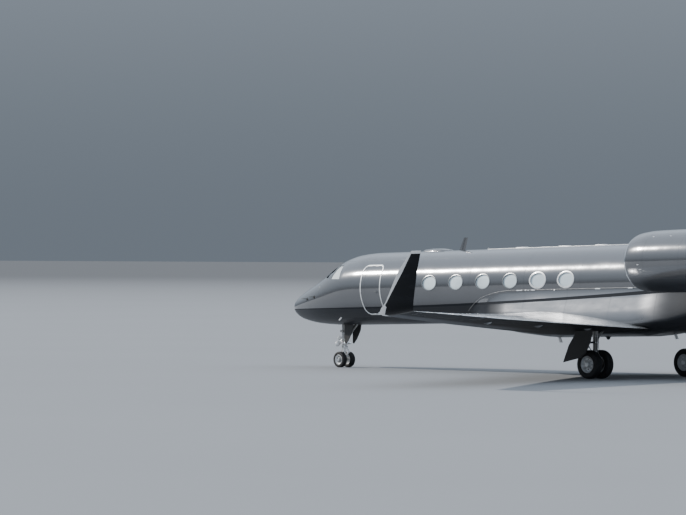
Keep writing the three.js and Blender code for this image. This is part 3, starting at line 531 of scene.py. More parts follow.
def mixed(tree, share, a, b):
    """A colour between two."""
    made = tree.nodes.new("ShaderNodeMix")
    made.data_type = "RGBA"
    for value, index in ((share, 0), (a, 6), (b, 7)):
        feed(tree, value, made.inputs[index])
    return made.outputs[2]


def object_place(tree):
    """Object coordinates, and the three of them apart."""
    here = tree.nodes.new("ShaderNodeTexCoord").outputs["Object"]
    apart = tree.nodes.new("ShaderNodeSeparateXYZ")
    tree.links.new(here, apart.inputs[0])
    return here, apart.outputs


def station_place(tree):
    """The station, distance to starboard and height of a point, together and apart."""
    turn = tree.nodes.new("ShaderNodeMapping")
    turn.inputs["Location"].default_value = TO_STATION.translation
    turn.inputs["Rotation"].default_value = TO_STATION.to_euler()
    tree.links.new(tree.nodes.new("ShaderNodeTexCoord").outputs["Object"], turn.inputs["Vector"])
    apart = tree.nodes.new("ShaderNodeSeparateXYZ")
    tree.links.new(turn.outputs["Vector"], apart.inputs[0])
    return turn.outputs["Vector"], apart.outputs


def noise(tree, vector, scale, detail=3.0, stretch=None):
    """The value of a noise texture, stretched along an axis if asked."""
    if stretch:
        turn = tree.nodes.new("ShaderNodeMapping")
        turn.inputs["Scale"].default_value = stretch
        tree.links.new(vector, turn.inputs["Vector"])
        vector = turn.outputs["Vector"]
    made = tree.nodes.new("ShaderNodeTexNoise")
    tree.links.new(vector, made.inputs["Vector"])
    feed(tree, scale, made.inputs["Scale"])
    made.inputs["Detail"].default_value = detail
    return made.outputs["Fac"]


def new_group(name, inputs, outputs):
    """A shader node group of plain values; gives its tree, its inputs and its outputs."""
    tree = bpy.data.node_groups.new(name, "ShaderNodeTree")
    for label, default in inputs.items():
        socket = tree.interface.new_socket(name=label, in_out="INPUT", socket_type="NodeSocketFloat")
        socket.default_value = default
    for label in outputs:
        tree.interface.new_socket(name=label, in_out="OUTPUT", socket_type="NodeSocketFloat")
    start = tree.nodes.new("NodeGroupInput")
    end = tree.nodes.new("NodeGroupOutput")
    return tree, start.outputs, end.inputs


def placed(tree, group, **values):
    """Puts a group in a tree with its values; underscores in their names stand for spaces."""
    made = tree.nodes.new("ShaderNodeGroup")
    made.node_tree = bpy.data.node_groups[group]
    for key, value in values.items():
        feed(tree, value, made.inputs[key.replace("_", " ")])
    return made.outputs


def make_panel_seams():
    """Thin joints between skin panels: rings at a pitch along the body, and two lines along it."""
    tree, given, result = new_group(
        "panel_seams", {"First": 0.0, "Pitch": 2.0, "Width": 0.006, "High": 0.9, "Low": -0.9}, ["Seam"],
    )
    _, (s, _, z) = station_place(tree)
    past_first = maths(tree, "SUBTRACT", s, given["First"])
    from_ring = maths(tree, "PINGPONG", past_first, maths(tree, "MULTIPLY", given["Pitch"], 0.5))
    from_high = maths(tree, "ABSOLUTE", maths(tree, "SUBTRACT", z, given["High"]))
    from_low = maths(tree, "ABSOLUTE", maths(tree, "SUBTRACT", z, given["Low"]))
    nearest = maths(tree, "MINIMUM", from_ring, maths(tree, "MINIMUM", from_high, from_low))
    feed(tree, ramp(tree, nearest, 0.0, given["Width"], 1.0, 0.0), result["Seam"])


def make_weathering():
    """Thin streaks and dull patches that grow along the airflow."""
    tree, given, result = new_group("weathering", {"Scale": 1.0, "Amount": 0.5}, ["Dirt", "Wave"])
    here, _ = station_place(tree)
    streaks = noise(tree, here, given["Scale"], 5.0, (0.5, 3.0, 3.0))
    patches = noise(tree, here, maths(tree, "MULTIPLY", given["Scale"], 0.6), 3.0)
    both = maths(tree, "MULTIPLY", ramp(tree, streaks, 0.45, 0.75), ramp(tree, patches, 0.35, 0.7))
    feed(tree, maths(tree, "MULTIPLY", both, given["Amount"]), result["Dirt"])
    broad = noise(tree, here, given["Scale"], 1.0, (1.4, 1.0, 0.7))
    ripple = noise(tree, here, maths(tree, "MULTIPLY", given["Scale"], 6.0), 2.0, (0.8, 1.0, 1.0))
    feed(tree, maths(tree, "MULTIPLY_ADD", ripple, 0.12, broad), result["Wave"])


def make_fine_grain():
    """The small unevenness of cast, sprayed or moulded surfaces."""
    tree, given, result = new_group("fine_grain", {"Scale": 60.0}, ["Grain", "Patch"])
    here, _ = object_place(tree)
    feed(tree, noise(tree, here, given["Scale"], 4.0), result["Grain"])
    feed(tree, noise(tree, here, maths(tree, "MULTIPLY", given["Scale"], 0.12), 3.0), result["Patch"])


def make_worn_edges():
    """Where edges and corners stand out, to show wear."""
    tree, given, result = new_group("worn_edges", {"Reach": 0.5}, ["Wear"])
    point = tree.nodes.new("ShaderNodeNewGeometry").outputs["Pointiness"]
    here, _ = object_place(tree)
    broken = maths(tree, "MULTIPLY", noise(tree, here, 35.0, 4.0), 0.06)
    level = maths(tree, "ADD", point, broken)
    end = maths(tree, "ADD", 0.56, maths(tree, "MULTIPLY", given["Reach"], 0.04))
    feed(tree, ramp(tree, level, 0.54, end), result["Wear"])


def new_material(name, colour, metallic, roughness, **extra):
    """A material with its shader's plain values set, and its tree and shader."""
    material = bpy.data.materials.new(name)
    material.use_nodes = True
    shader = material.node_tree.nodes["Principled BSDF"]
    shader.inputs["Base Color"].default_value = (*colour[:3], 1)
    shader.inputs["Metallic"].default_value = metallic
    shader.inputs["Roughness"].default_value = roughness
    for label, value in extra.items():
        shader.inputs[label.replace("_", " ")].default_value = value
    return material, material.node_tree, shader


def bumped(tree, shader, height, distance):
    """Feeds a height to the shader's normal."""
    made = tree.nodes.new("ShaderNodeBump")
    made.inputs["Distance"].default_value = distance
    tree.links.new(height, made.inputs["Height"])
    tree.links.new(made.outputs["Normal"], shader.inputs["Normal"])


def rgba(colour, share=1.0):
    """A colour with alpha, dimmed or brightened by a share."""
    return (colour[0] * share, colour[1] * share, colour[2] * share, 1.0)


def underside(tree, start, full):
    """A mask of the surfaces that face down, from where it starts to where it is full."""
    facing = tree.nodes.new("ShaderNodeSeparateXYZ")
    tree.links.new(tree.nodes.new("ShaderNodeTexCoord").outputs["Normal"], facing.inputs[0])
    return ramp(tree, maths(tree, "MULTIPLY", facing.outputs["Z"], -1.0), -start, -full)


def stripe_masks(tree, s, z):
    """Masks of the thin line along the body, which rises as it runs aft, and of all that is under it."""
    aft = maths(tree, "MAXIMUM", maths(tree, "SUBTRACT", s, STRIPE["start"]), 0.0)
    line = maths(tree, "MULTIPLY_ADD", maths(tree, "POWER", aft, 2.0), STRIPE["bend"], STRIPE["height"])
    over = maths(tree, "SUBTRACT", z, line)
    width = maths(tree, "MULTIPLY_ADD", s, STRIPE["widening"], STRIPE["half_width"])
    in_line = maths(tree, "LESS_THAN", maths(tree, "ABSOLUTE", over), width)
    return in_line, maths(tree, "LESS_THAN", over, 0.0)


def make_body_paint(place_name, colours, stripe=True, fades=None, bare=None, light=1.0, aft=None):
    """Metallic paint with a clear coat, which is dull where it faces down, and darker there as painted shade. With
    a stripe it has the belly's colour below it, a painted shade and reflection of dark ground, which may fade
    between two stations. light brightens the colour as a painted reflection, aft gives two stations between which
    the lower side is painted into shade, and bare(tree, place) is a mask of where the metal is polished and bare."""
    material, tree, shader = new_material(
        f"{place_name}_paint", colours.body, 0.75, 0.2, Coat_Weight=1.0, Coat_Roughness=0.02,
        Specular_IOR_Level=0.3,
    )
    _, place = station_place(tree)
    s, _, z = place
    # Surfaces that face down are duller, and are painted darker as shade further down.
    dull = underside(tree, -0.30, -0.80)
    matt = None
    wear = placed(tree, "weathering", Scale=0.9, Amount=0.55)
    first, pitch, high, low = SEAMS[place_name]
    seam = placed(tree, "panel_seams", First=first, Pitch=pitch, High=high, Low=low)["Seam"]
    colour = mixed(tree, wear["Dirt"], rgba(colours.body, light), rgba(colours.body, light * 0.8))
    if stripe:
        # Under the stripe, the belly's colour is painted shade and reflection of dark ground, with dirt over it.
        matt, under = stripe_masks(tree, s, z)
        if fades:
            under = maths(tree, "MULTIPLY", under, ramp(tree, s, *fades, 1.0, 0.0))
        dusty_belly_shade = mixed(tree, wear["Dirt"], rgba(colours.belly), rgba(colours.belly, 1.25))
        colour = mixed(tree, matt, mixed(tree, under, colour, dusty_belly_shade), rgba(colours.stripe))
        dull = maths(tree, "MAXIMUM", maths(tree, "MAXIMUM", dull, maths(tree, "MULTIPLY", under, 0.9)), matt)
    if aft:
        shaded = maths(tree, "MULTIPLY", ramp(tree, s, *aft, 0.0, 0.85), ramp(tree, z, 0.15, -0.25))
        dull = maths(tree, "MAXIMUM", dull, shaded)
        matt = maths(tree, "MAXIMUM", matt, shaded)
    colour = mixed(tree, maths(tree, "MULTIPLY", seam, 0.55), colour, rgba(colours.stripe))
    # Painted shade: all that faces down, lies under the stripe or is in the aft shade is darkened towards the
    # belly's colour.
    colour = mixed(tree, maths(tree, "MULTIPLY", dull, 0.9), colour, rgba(colours.belly))
    roughness = maths(tree, "MULTIPLY_ADD", wear["Dirt"], 0.12, 0.13)
    roughness = maths(tree, "ADD", roughness, maths(tree, "MULTIPLY", dull, 0.3))
    metallic = ramp(tree, dull, 0.0, 1.0, 0.75, 0.1)
    coat = ramp(tree, dull, 0.0, 1.0, 1.0, 0.12)
    if matt:
        coat = maths(tree, "SUBTRACT", coat, maths(tree, "MULTIPLY", matt, 0.12))
        roughness = maths(tree, "MULTIPLY_ADD", matt, 0.45, roughness)
    if bare:
        mask = bare(tree, place)
        colour = mixed(tree, mask, colour, rgba(colours.polished))
        smoother = maths(tree, "SUBTRACT", 1.0, maths(tree, "MULTIPLY", mask, 0.45))
        roughness = maths(tree, "MULTIPLY", roughness, smoother)
        metallic = maths(tree, "MAXIMUM", mask, metallic)
    feed(tree, colour, shader.inputs["Base Color"])
    feed(tree, metallic, shader.inputs["Metallic"])
    feed(tree, roughness, shader.inputs["Roughness"])
    feed(tree, coat, shader.inputs["Coat Weight"])
    bumped(tree, shader, maths(tree, "SUBTRACT", wear["Wave"], maths(tree, "MULTIPLY", seam, 0.35)), 0.008)
    return material


def nacelle_metal(tree, place):
    """The bare intake lip and exhaust ring of a nacelle."""
    s = place[0]
    lip = maths(tree, "LESS_THAN", s, NACELLE["station"] + NACELLE_LIP)
    ring = maths(tree, "GREATER_THAN", s, NACELLE["station"] + NACELLE_RING)
    return maths(tree, "MAXIMUM", lip, ring)


def wing_nose_metal(tree, place):
    """The bare strip along a wing's leading edge."""
    s, y, _ = place
    edge = line_at(tree, maths(tree, "ABSOLUTE", y), WING_FRONT)
    return maths(tree, "LESS_THAN", maths(tree, "SUBTRACT", s, edge), BARE_STRIP["wing"])


def winglet_metal(tree, place):
    """The bare strip along a winglet's leading edge, wider at its foot, and the winglet's cap."""
    s, _, z = place
    width = maths(tree, "ADD", BARE_STRIP["winglet"], ramp(tree, z, -0.68, -0.78, 0.0, 0.14))
    behind = maths(tree, "SUBTRACT", s, line_at(tree, z, WINGLET_FRONT))
    strip = maths(tree, "LESS_THAN", behind, width)
    return maths(tree, "MAXIMUM", strip, maths(tree, "GREATER_THAN", z, WINGLET_CAP))


def fin_metal(tree, place):
    """The bare strips along the leading edges of the fin and tailplane."""
    s, y, z = place
    behind_fin = maths(tree, "SUBTRACT", s, line_at(tree, z, FIN_FRONT))
    behind_tail = maths(tree, "SUBTRACT", s, line_at(tree, maths(tree, "ABSOLUTE", y), TAIL_FRONT))
    fin = maths(tree, "LESS_THAN", behind_fin, BARE_STRIP["fin"])
    tail = maths(tree, "LESS_THAN", behind_tail, BARE_STRIP["tail"])
    high = maths(tree, "GREATER_THAN", z, TAIL_LEVEL)
    on_fin = maths(tree, "MULTIPLY", maths(tree, "SUBTRACT", 1.0, high), fin)
    return maths(tree, "MAXIMUM", maths(tree, "MULTIPLY", high, tail), on_fin)


def make_black_paint(colours):
    """Gloss black for the winglets, with the bare strip."""
    material, tree, shader = new_material(
        "winglet_black", colours.black, 0.0, 0.3, Specular_IOR_Level=0.1,
    )
    mask = winglet_metal(tree, station_place(tree)[1])
    wear = placed(tree, "weathering", Scale=1.6, Amount=0.6)
    dull = mixed(tree, wear["Dirt"], rgba(colours.black), rgba(colours.black, 1.8))
    feed(tree, mixed(tree, mask, dull, rgba(colours.polished)), shader.inputs["Base Color"])
    feed(tree, mask, shader.inputs["Metallic"])
    feed(tree, maths(tree, "MULTIPLY_ADD", wear["Dirt"], 0.15, 0.25), shader.inputs["Roughness"])
    bumped(tree, shader, wear["Wave"], 0.004)
    return material


def make_wing_paint(colours):
    """Satin paint for the wing and its panels, with a painted highlight aft on the outer wing and painted shade
    below, darkest at the root and lighter under the front of the outer wing as painted light, with a bare leading
    edge and thin joints between its panels."""
    material, tree, shader = new_material(
        "wing_paint", colours.wing, 0.35, 0.25, Coat_Weight=0.5, Coat_Roughness=0.05, Specular_IOR_Level=0.08,
    )
    _, place = station_place(tree)
    s, out = place[0], maths(tree, "ABSOLUTE", place[1])
    mask = wing_nose_metal(tree, place)
    wear = placed(tree, "weathering", Scale=1.1, Amount=0.7)
    colour = mixed(tree, wear["Dirt"], rgba(colours.wing), rgba(colours.wing, 0.8))
    below = underside(tree, 0.05, -0.15)
    behind_front = maths(tree, "SUBTRACT", s, line_at(tree, out, WING_FRONT))
    before_back = maths(tree, "SUBTRACT", line_at(tree, out, WING_BACK), s)
    # A painted highlight: the upper side near the outer wing's trailing edge is much paler, where the sun glints.
    aft_highlight = maths(tree, "MULTIPLY", ramp(tree, before_back, 0.8, 1.0, 1.0, 0.0), ramp(tree, out, 6.5, 9.5))
    colour = mixed(tree, aft_highlight, colour, rgba(colours.wing, 2.6))
    # Painted shade on the lower side, darkest at the root, with painted light under the front of the outer wing.
    outer = ramp(tree, out, 3.0, 13.0)
    chord_share = maths(tree, "DIVIDE", behind_front, maths(tree, "ADD", behind_front, before_back))
    front = maths(tree, "MULTIPLY", ramp(tree, chord_share, 0.45, 0.6, 1.0, 0.0), ramp(tree, out, 3.0, 7.0))
    under = mixed(tree, outer, rgba(colours.shaded_under_wing, 0.25), rgba(colours.shaded_under_wing, 0.8))
    under = mixed(tree, front, under, rgba(colours.shaded_under_wing, 2.2))
    colour = mixed(tree, below, colour, under)
    ribs = maths(tree, "PINGPONG", out, WING_RIBS / 2)
    seam = ramp(tree, ribs, 0.0, 0.006, 1.0, 0.0)
    colour = mixed(tree, maths(tree, "MULTIPLY", seam, 0.5), colour, rgba(colours.stripe))
    feed(tree, mixed(tree, mask, colour, rgba(colours.polished)), shader.inputs["Base Color"])
    above = maths(tree, "SUBTRACT", 1.0, below)
    feed(tree, maths(tree, "MAXIMUM", mask, maths(tree, "MULTIPLY", above, 0.35)), shader.inputs["Metallic"])
    feed(tree, maths(tree, "MULTIPLY", above, 0.5), shader.inputs["Coat Weight"])
    rough = maths(tree, "MULTIPLY_ADD", wear["Dirt"], 0.2, 0.24)
    feed(tree, maths(tree, "ADD", rough, maths(tree, "MULTIPLY", below, 0.4)), shader.inputs["Roughness"])
    bumped(tree, shader, maths(tree, "SUBTRACT", wear["Wave"], maths(tree, "MULTIPLY", seam, 0.3)), 0.005)
    return material


def make_floor(colour):
    """The pale studio floor, a little uneven, painted darker in the distance so that the horizon shows softly in
    reflections.
    """
    material, tree, shader = new_material("studio_floor", colour, 0.0, 0.85, Specular_IOR_Level=0.1)
    fine = placed(tree, "fine_grain", Scale=0.6)
    near = mixed(tree, fine["Patch"], rgba(colour, 0.97), rgba(colour, 1.03))
    _, (x, y, _) = object_place(tree)
    away = maths(tree, "SQRT", maths(tree, "ADD", maths(tree, "MULTIPLY", x, x), maths(tree, "MULTIPLY", y, y)))
    # Painted dimming: the colour darkens with distance from the middle.
    far = ramp(tree, away, 60.0, 700.0)
    feed(tree, mixed(tree, far, near, rgba(colour, 0.42)), shader.inputs["Base Color"])
    return material


def make_plain(name, colour, metallic, roughness, grain=60.0, depth=0.0004, wear=None, spread=0.12, **extra):
    """A grainy finish in one colour, uneven by a spread, with worn edges if their colour is given."""
    material, tree, shader = new_material(name, colour, metallic, roughness, **extra)
    fine = placed(tree, "fine_grain", Scale=grain)
    shaded = mixed(tree, ramp(tree, fine["Patch"], 0.35, 0.65), rgba(colour, 1 - spread), rgba(colour, 1 + spread))
    if wear:
        edge = placed(tree, "worn_edges", Reach=0.6)["Wear"]
        shaded = mixed(tree, edge, shaded, rgba(wear))
    feed(tree, shaded, shader.inputs["Base Color"])
    rough = ramp(tree, fine["Grain"], 0.3, 0.7, roughness * 0.85, min(roughness * 1.15, 1.0))
    feed(tree, rough, shader.inputs["Roughness"])
    bumped(tree, shader, fine["Grain"], depth)
    return material


def make_glass(name, colour, roughness, screened=None, screen=(0.78, 0.83, 0.83)):
    """Glass that shows the sky, with a little dust; aft of a station a pale sun screen stands behind it."""
    material, tree, shader = new_material(name, colour, 0.0, roughness, Coat_Weight=1.0, Coat_Roughness=0.02)
    fine = placed(tree, "fine_grain", Scale=9.0)
    shown = mixed(tree, ramp(tree, fine["Patch"], 0.4, 0.8), rgba(colour), rgba(colour, 1.3))
    if screened:
        behind = maths(tree, "GREATER_THAN", station_place(tree)[1][0], screened)
        shown = mixed(tree, behind, shown, rgba(screen))
    feed(tree, shown, shader.inputs["Base Color"])
    feed(tree, ramp(tree, fine["Patch"], 0.35, 0.8, roughness, roughness + 0.06), shader.inputs["Roughness"])
    return material


# What a user may change


def colour_prop(name, description, default):
    """A colour in linear values."""
    return bpy.props.FloatVectorProperty(
        name=name, description=description, default=default, subtype="COLOR", size=3, min=0, max=1,
    )


def length_prop(name, description, default):
    """A length in metres."""
    return bpy.props.FloatProperty(name=name, description=description, default=default, unit="LENGTH", min=0)


class JetColours(bpy.types.PropertyGroup):
    """Colours of the finishes"""

    body: colour_prop("Body", "Metallic paint of the fuselage, fin and nacelles", (0.19, 0.194, 0.204))
    # The belly's colour is painted shade and reflection of dark ground, not a paint of its own.
    belly: colour_prop("Belly", "Paint under the stripe at the front", (0.016, 0.019, 0.025))
    stripe: colour_prop("Stripe", "The thin line along the body, and the joints", (0.012, 0.015, 0.02))
    wing: colour_prop("Wing", "Paint of the wing and its panels", (0.34, 0.355, 0.375))
    # The colour of the wing's lower side is painted shade, not a paint of its own.
    shaded_under_wing: colour_prop("Under the wing", "Paint of the wing's lower side", (0.055, 0.06, 0.068))
    black: colour_prop("Winglet", "Gloss paint of the winglets", (0.006, 0.007, 0.009))
    polished: colour_prop("Polished metal", "Bare leading edges, lips and rings", (0.86, 0.87, 0.88))
    # The window shades' colour is pale, with a blue tint that paints the sky's reflection in the glass.
    shade: colour_prop("Window shade", "The pale shades behind the cabin windows", (0.72, 0.82, 0.86))
    gear: colour_prop("Gear paint", "Legs, forks and nose wheels", (0.62, 0.64, 0.65))
    rim: colour_prop("Main rims", "Forged main wheels", (0.60, 0.61, 0.62))
    rubber: colour_prop("Tyres", "Tyre rubber", (0.012, 0.012, 0.013))
    floor: colour_prop("Floor", "The stage", (0.30, 0.31, 0.325))


class JetSizes(bpy.types.PropertyGroup):
    """Sizes of the small pieces"""

    window_ring: length_prop("Window ring", "Width of the ring round a cabin window", 0.030)
    exit_ring: length_prop("Exit ring", "Width of the ring round the windows over the wing", 0.056)
    door_trim: length_prop("Door trim", "Width of the bright strip round the door", 0.042)


class JetStage(bpy.types.PropertyGroup):
    """Camera and light"""

    focal_length: bpy.props.FloatProperty(
        name="Focal length", description="Of the camera, on a 36 mm sensor", default=209.9, unit="CAMERA",
        min=1,
    )
    key_strength: bpy.props.FloatProperty(
        name="Key light", description="Strength of the sun", default=3.9, min=0,
    )
    floor_radius: length_prop("Floor radius", "Reach of the round floor", 4000.0)


FINISHES = {}


class JET_OT_finishes(bpy.types.Operator):
    """Makes the shared shader groups and the materials"""

    bl_idname = "jet.finishes"
    bl_label = "Finishes"

    def execute(self, context):
        colours = context.scene.jet_colours
        make_panel_seams()
        make_weathering()
        make_fine_grain()
        make_worn_edges()
        FINISHES.update(
            body=make_body_paint("body", colours),
            # The fairing's colour is brightened by 1.35 as a painted reflection.
            fairing=make_body_paint("fairing", colours, fades=(10.3, 11.9), light=1.35, aft=AFT_SHADE),
            tail=make_body_paint("tail", colours, fades=(17.0, 17.1), aft=AFT_SHADE),
            nacelle=make_body_paint("nacelle", colours, stripe=False, bare=nacelle_metal),
            fin=make_body_paint("fin", colours, stripe=False, bare=fin_metal),
            wing=make_wing_paint(colours),
            black=make_black_paint(colours),
            glass=make_glass("cockpit_glass", (0.012, 0.016, 0.02), 0.04, 2.77),
            # The cabin windows' pale shades, tinted blue as a painted sky reflection.
            shade=make_glass("shaded_glass", colours.shade, 0.12),
            ring=make_plain("ring_metal", (0.30, 0.31, 0.32), 0.6, 0.25, 60.0, 0.0002, Coat_Weight=0.5),
            # Near-white trim: the real strips, rings and latches are bright metal, and this colour paints their
            # glint.
            trim=make_plain("bright_trim", (0.86, 0.88, 0.89), 0.2, 0.28, 60.0, 0.0002, Coat_Weight=0.6),
            polished=make_plain("polished_metal", colours.polished, 1.0, 0.14, 40.0, 0.0002),
            gear=make_plain(
                "gear_paint", colours.gear, 0.1, 0.32, 50.0, wear=(0.35, 0.34, 0.32), Coat_Weight=0.3,
            ),
            chrome=make_plain("oleo_chrome", (0.8, 0.81, 0.82), 1.0, 0.08, 30.0, 0.0001),
            dark=make_plain(
                "dark_paint", (0.009, 0.0115, 0.014), 0.0, 0.5, 35.0, wear=(0.05, 0.05, 0.05),
                Specular_IOR_Level=0.2,
            ),
            rim=make_plain("main_rim", colours.rim, 0.25, 0.38, 70.0, wear=(0.55, 0.55, 0.56)),
            nose_rim=make_plain("nose_rim", (0.72, 0.73, 0.73), 0.1, 0.3, 60.0, wear=(0.4, 0.4, 0.4)),
            rubber=make_plain("tyre_rubber", colours.rubber, 0.0, 0.72, 90.0, 0.0008, spread=0.35),
            fitting=make_plain("fitting_metal", (0.42, 0.43, 0.44), 0.7, 0.3, 60.0, wear=(0.6, 0.6, 0.6)),
            lens=make_glass("lamp_glass", (0.05, 0.06, 0.07), 0.05),
            hub=make_plain("hub_white", (0.86, 0.87, 0.87), 0.0, 0.3, 60.0, Coat_Weight=0.5),
            hub_grey=make_plain("hub_grey", (0.22, 0.23, 0.235), 0.3, 0.4, 60.0, wear=(0.4, 0.4, 0.4)),
            duct=make_plain("duct_lining", (0.10, 0.105, 0.11), 0.3, 0.5, 50.0),
            fan=make_plain("fan_metal", (0.30, 0.31, 0.33), 0.95, 0.3, 45.0),
            engine=make_plain("engine_metal", (0.13, 0.125, 0.12), 0.9, 0.42, 30.0, wear=(0.3, 0.28, 0.25)),
            liner=make_plain("cabin_liner", (0.55, 0.51, 0.45), 0.0, 0.7, 120.0, spread=0.03),
            panel=make_plain("panel_plastic", (0.03, 0.031, 0.033), 0.0, 0.55, 150.0),
            leather=make_plain("seat_leather", (0.24, 0.19, 0.14), 0.0, 0.5, 220.0, 0.0008),
        )
        return {"FINISHED"}


class JET_OT_fuselage(bpy.types.Operator):
    """Smooths and paints the nose, cabin and tail sections, the fairings and the door"""

    bl_idname = "jet.fuselage"
    bl_label = "Fuselage"

    def execute(self, context):
        for node in ("radome", "fuselage_nose", "fuselage_cabin", "fuselage_tail", "entry_door"):
            look = "tail" if node == "fuselage_tail" else "body"
            round_like_hull(dressed(node, look))
        evened(dressed("wing_fairing", "fairing", 45))
        evened(dressed("antenna_fairing", "body", 60))
        evened(dressed("antenna_blade", "body", 60))
        dressed("windshield", "glass", 50)
        for side in SIDES:
            dressed(f"cabin_windows_{side}", "shade", 50)
        return {"FINISHED"}


def skin_guide():
    """A fine round copy of the cabin's skin, which trim is pressed onto."""
    clear_selection()
    bpy.ops.mesh.primitive_cylinder_add(
        vertices=256, radius=hull_line(10, 1), depth=13, location=(10.6, 0, 0), rotation=(0, math.pi / 2, 0),
    )
    return moved(added("skin_guide"), Matrix.Identity(4))


def pressed_on_skin(piece, guide, thickness, bevel):
    """Presses a flat piece onto the skin, and gives it a thickness and rounded edges."""
    apply_modifier(
        piece, "SHRINKWRAP", target=guide, wrap_method="PROJECT", use_project_x=False, use_project_y=True,
        use_negative_direction=True, use_positive_direction=True, cull_face="BACK",
    )
    thicken(piece, thickness, bevel)
    return tidy(piece)


def window_ring(name, guide, band):
    """The oval ring round the first cabin window on the port side."""
    clear_selection()
    bpy.ops.mesh.primitive_circle_add(
        vertices=64, radius=0.5, fill_type="NGON", location=(WINDOWS["first"], PORT_OF_SKIN, WINDOWS["height"]),
        rotation=(math.pi / 2, 0, 0),
    )
    ring = added(name)
    ring.scale = (*WINDOWS[name], 1)
    bpy.ops.object.transform_apply(location=True, rotation=True, scale=True)
    edit(ring)
    bpy.ops.mesh.inset(thickness=band, depth=0)
    bpy.ops.mesh.delete(type="FACE")
    return pressed_on_skin(ring, guide, 0.016, 0.003)


class JET_OT_window_rings(bpy.types.Operator):
    """Makes the rings round the cabin windows"""

    bl_idname = "jet.window_rings"
    bl_label = "Window rings"

    def execute(self, context):
        sizes = context.scene.jet_sizes
        guide = skin_guide()
        thin = window_ring("ring", guide, sizes.window_ring)
        wide = window_ring("exit_ring", guide, sizes.exit_ring)
        # The exit rings are near-white, which paints the glint of their bright frames.
        kinds = (("window", thin, range(5), "ring"), ("exit_window", wide, range(5, 7), "trim"))
        for side, sign in SIDES.items():
            for kind, pattern, spots, look in kinds:
                rings = [copied(pattern, "ring", Matrix.Translation((i * WINDOWS["pitch"], 0, 0))) for i in spots]
                piece = joined(rings, f"{kind}_rings_{side}")
                if sign > 0:
                    piece.data.transform(Matrix.Scale(-1, 4, (0, 1, 0)))
                    tidy(piece)
                finish(moved(piece, PLACE), "airframe", look, 40)
        discard(guide, thin, wide)
        return {"FINISHED"}


class JET_OT_door_trim(bpy.types.Operator):
    """Makes the bright strip round the doorway, a metal strip whose near-white colour is a painted glint"""

    bl_idname = "jet.door_trim"
    bl_label = "Door trim"

    def execute(self, context):
        band = context.scene.jet_sizes.door_trim
        guide = skin_guide()
        clear_selection()
        low, high = Vector(DOORWAY["low"]), Vector(DOORWAY["high"])
        size, centre = high - low, (high + low) / 2
        bpy.ops.mesh.primitive_plane_add(
            size=1, location=(centre.x, PORT_OF_SKIN, centre.y), rotation=(math.pi / 2, 0, 0),
        )
        strip = added("door_trim")
        strip.scale = (size.x + 2 * band, size.y + 2 * band, 1)
        bpy.ops.object.transform_apply(location=True, rotation=True, scale=True)
        edit(strip)
        bpy.ops.mesh.bevel(offset=DOORWAY["corner"] + band, segments=8, affect="VERTICES")
        bpy.ops.mesh.select_all(action="SELECT")
        bpy.ops.mesh.inset(thickness=band, depth=0)
        bpy.ops.mesh.delete(type="FACE")
        bpy.ops.mesh.select_mode(type="EDGE")
        pick(strip, lambda spot: abs(spot.z - centre.y) < 0.2, "EDGE")
        bpy.ops.mesh.subdivide(number_cuts=20)
        clear_selection()
        pressed_on_skin(strip, guide, 0.014, 0.002)
        finish(moved(strip, PLACE), "airframe", "trim", 40)
        discard(guide)
        return {"FINISHED"}


class JET_OT_wings(bpy.types.Operator):
    """Smooths and paints the wings with their flaps, ailerons, spoilers and winglets"""

    bl_idname = "jet.wings"
    bl_label = "Wings"

    def execute(self, context):
        for side in SIDES:
            evened(dressed(f"wing_{side}", "wing", 45))
            for panel in ("flap", "aileron", "spoiler"):
                evened(dressed(f"{panel}_{side}", "wing", 45))
            evened(dressed(f"winglet_{side}", "black", 45))
        return {"FINISHED"}


class JET_OT_tail(bpy.types.Operator):
    """Smooths and paints the fin, rudder, tailplane and elevators"""

    bl_idname = "jet.tail"
    bl_label = "Tail"

    def execute(self, context):
        for node in ("fin", "rudder", "tailplane", "elevator_left", "elevator_right"):
            evened(dressed(node, "fin", 45))
        return {"FINISHED"}


def at_nacelle(side, along=0.0):
    """Where a nacelle's front centre stands, in the scene."""
    spot = (NACELLE["station"] + along, SIDES[side] * NACELLE["out"], NACELLE["height"])
    return PLACE @ Matrix.Translation(spot)


class JET_OT_nacelles(bpy.types.Operator):
    """Makes the nacelles with their intake lips, ducts and exhaust rings, and finishes the pylons"""

    bl_idname = "jet.nacelles"
    bl_label = "Nacelles"

    def execute(self, context):
        outside = rounded_rows([
            (0.0, 0.765), (0.012, 0.79), (0.05, 0.823), (0.12, 0.852), (0.23, 0.88), (0.5, 0.914),
            (0.85, 0.935), (1.9, 0.945), (3.0, 0.92), (4.1, 0.815), (5.0, 0.695), (5.36, 0.655),
        ], 5)
        inside = rounded_rows([
            (5.36, 0.63), (4.4, 0.655), (2.6, 0.65), (1.2, 0.62), (0.6, 0.615), (0.3, 0.645), (0.08, 0.705),
            (0.015, 0.742), (0.0, 0.765),
        ], 4)
        pattern = lathe("nacelle", outside + [(5.364, 0.6425)] + inside, 112)
        for side in SIDES:
            nacelle = copied(pattern, f"nacelle_{side}_shell")
            finish(nacelle, "airframe", ["nacelle", "duct"], 40,
                   [f"nacelle_{side}"])
            fill_with(nacelle, 1, lambda spot, up: 0.13 < spot.x < 5.2 and up.y * spot.y + up.z * spot.z < 0)
            moved(nacelle, at_nacelle(side))
            evened(dressed(f"pylon_{side}", "tail", 45))
        discard(pattern)
        return {"FINISHED"}


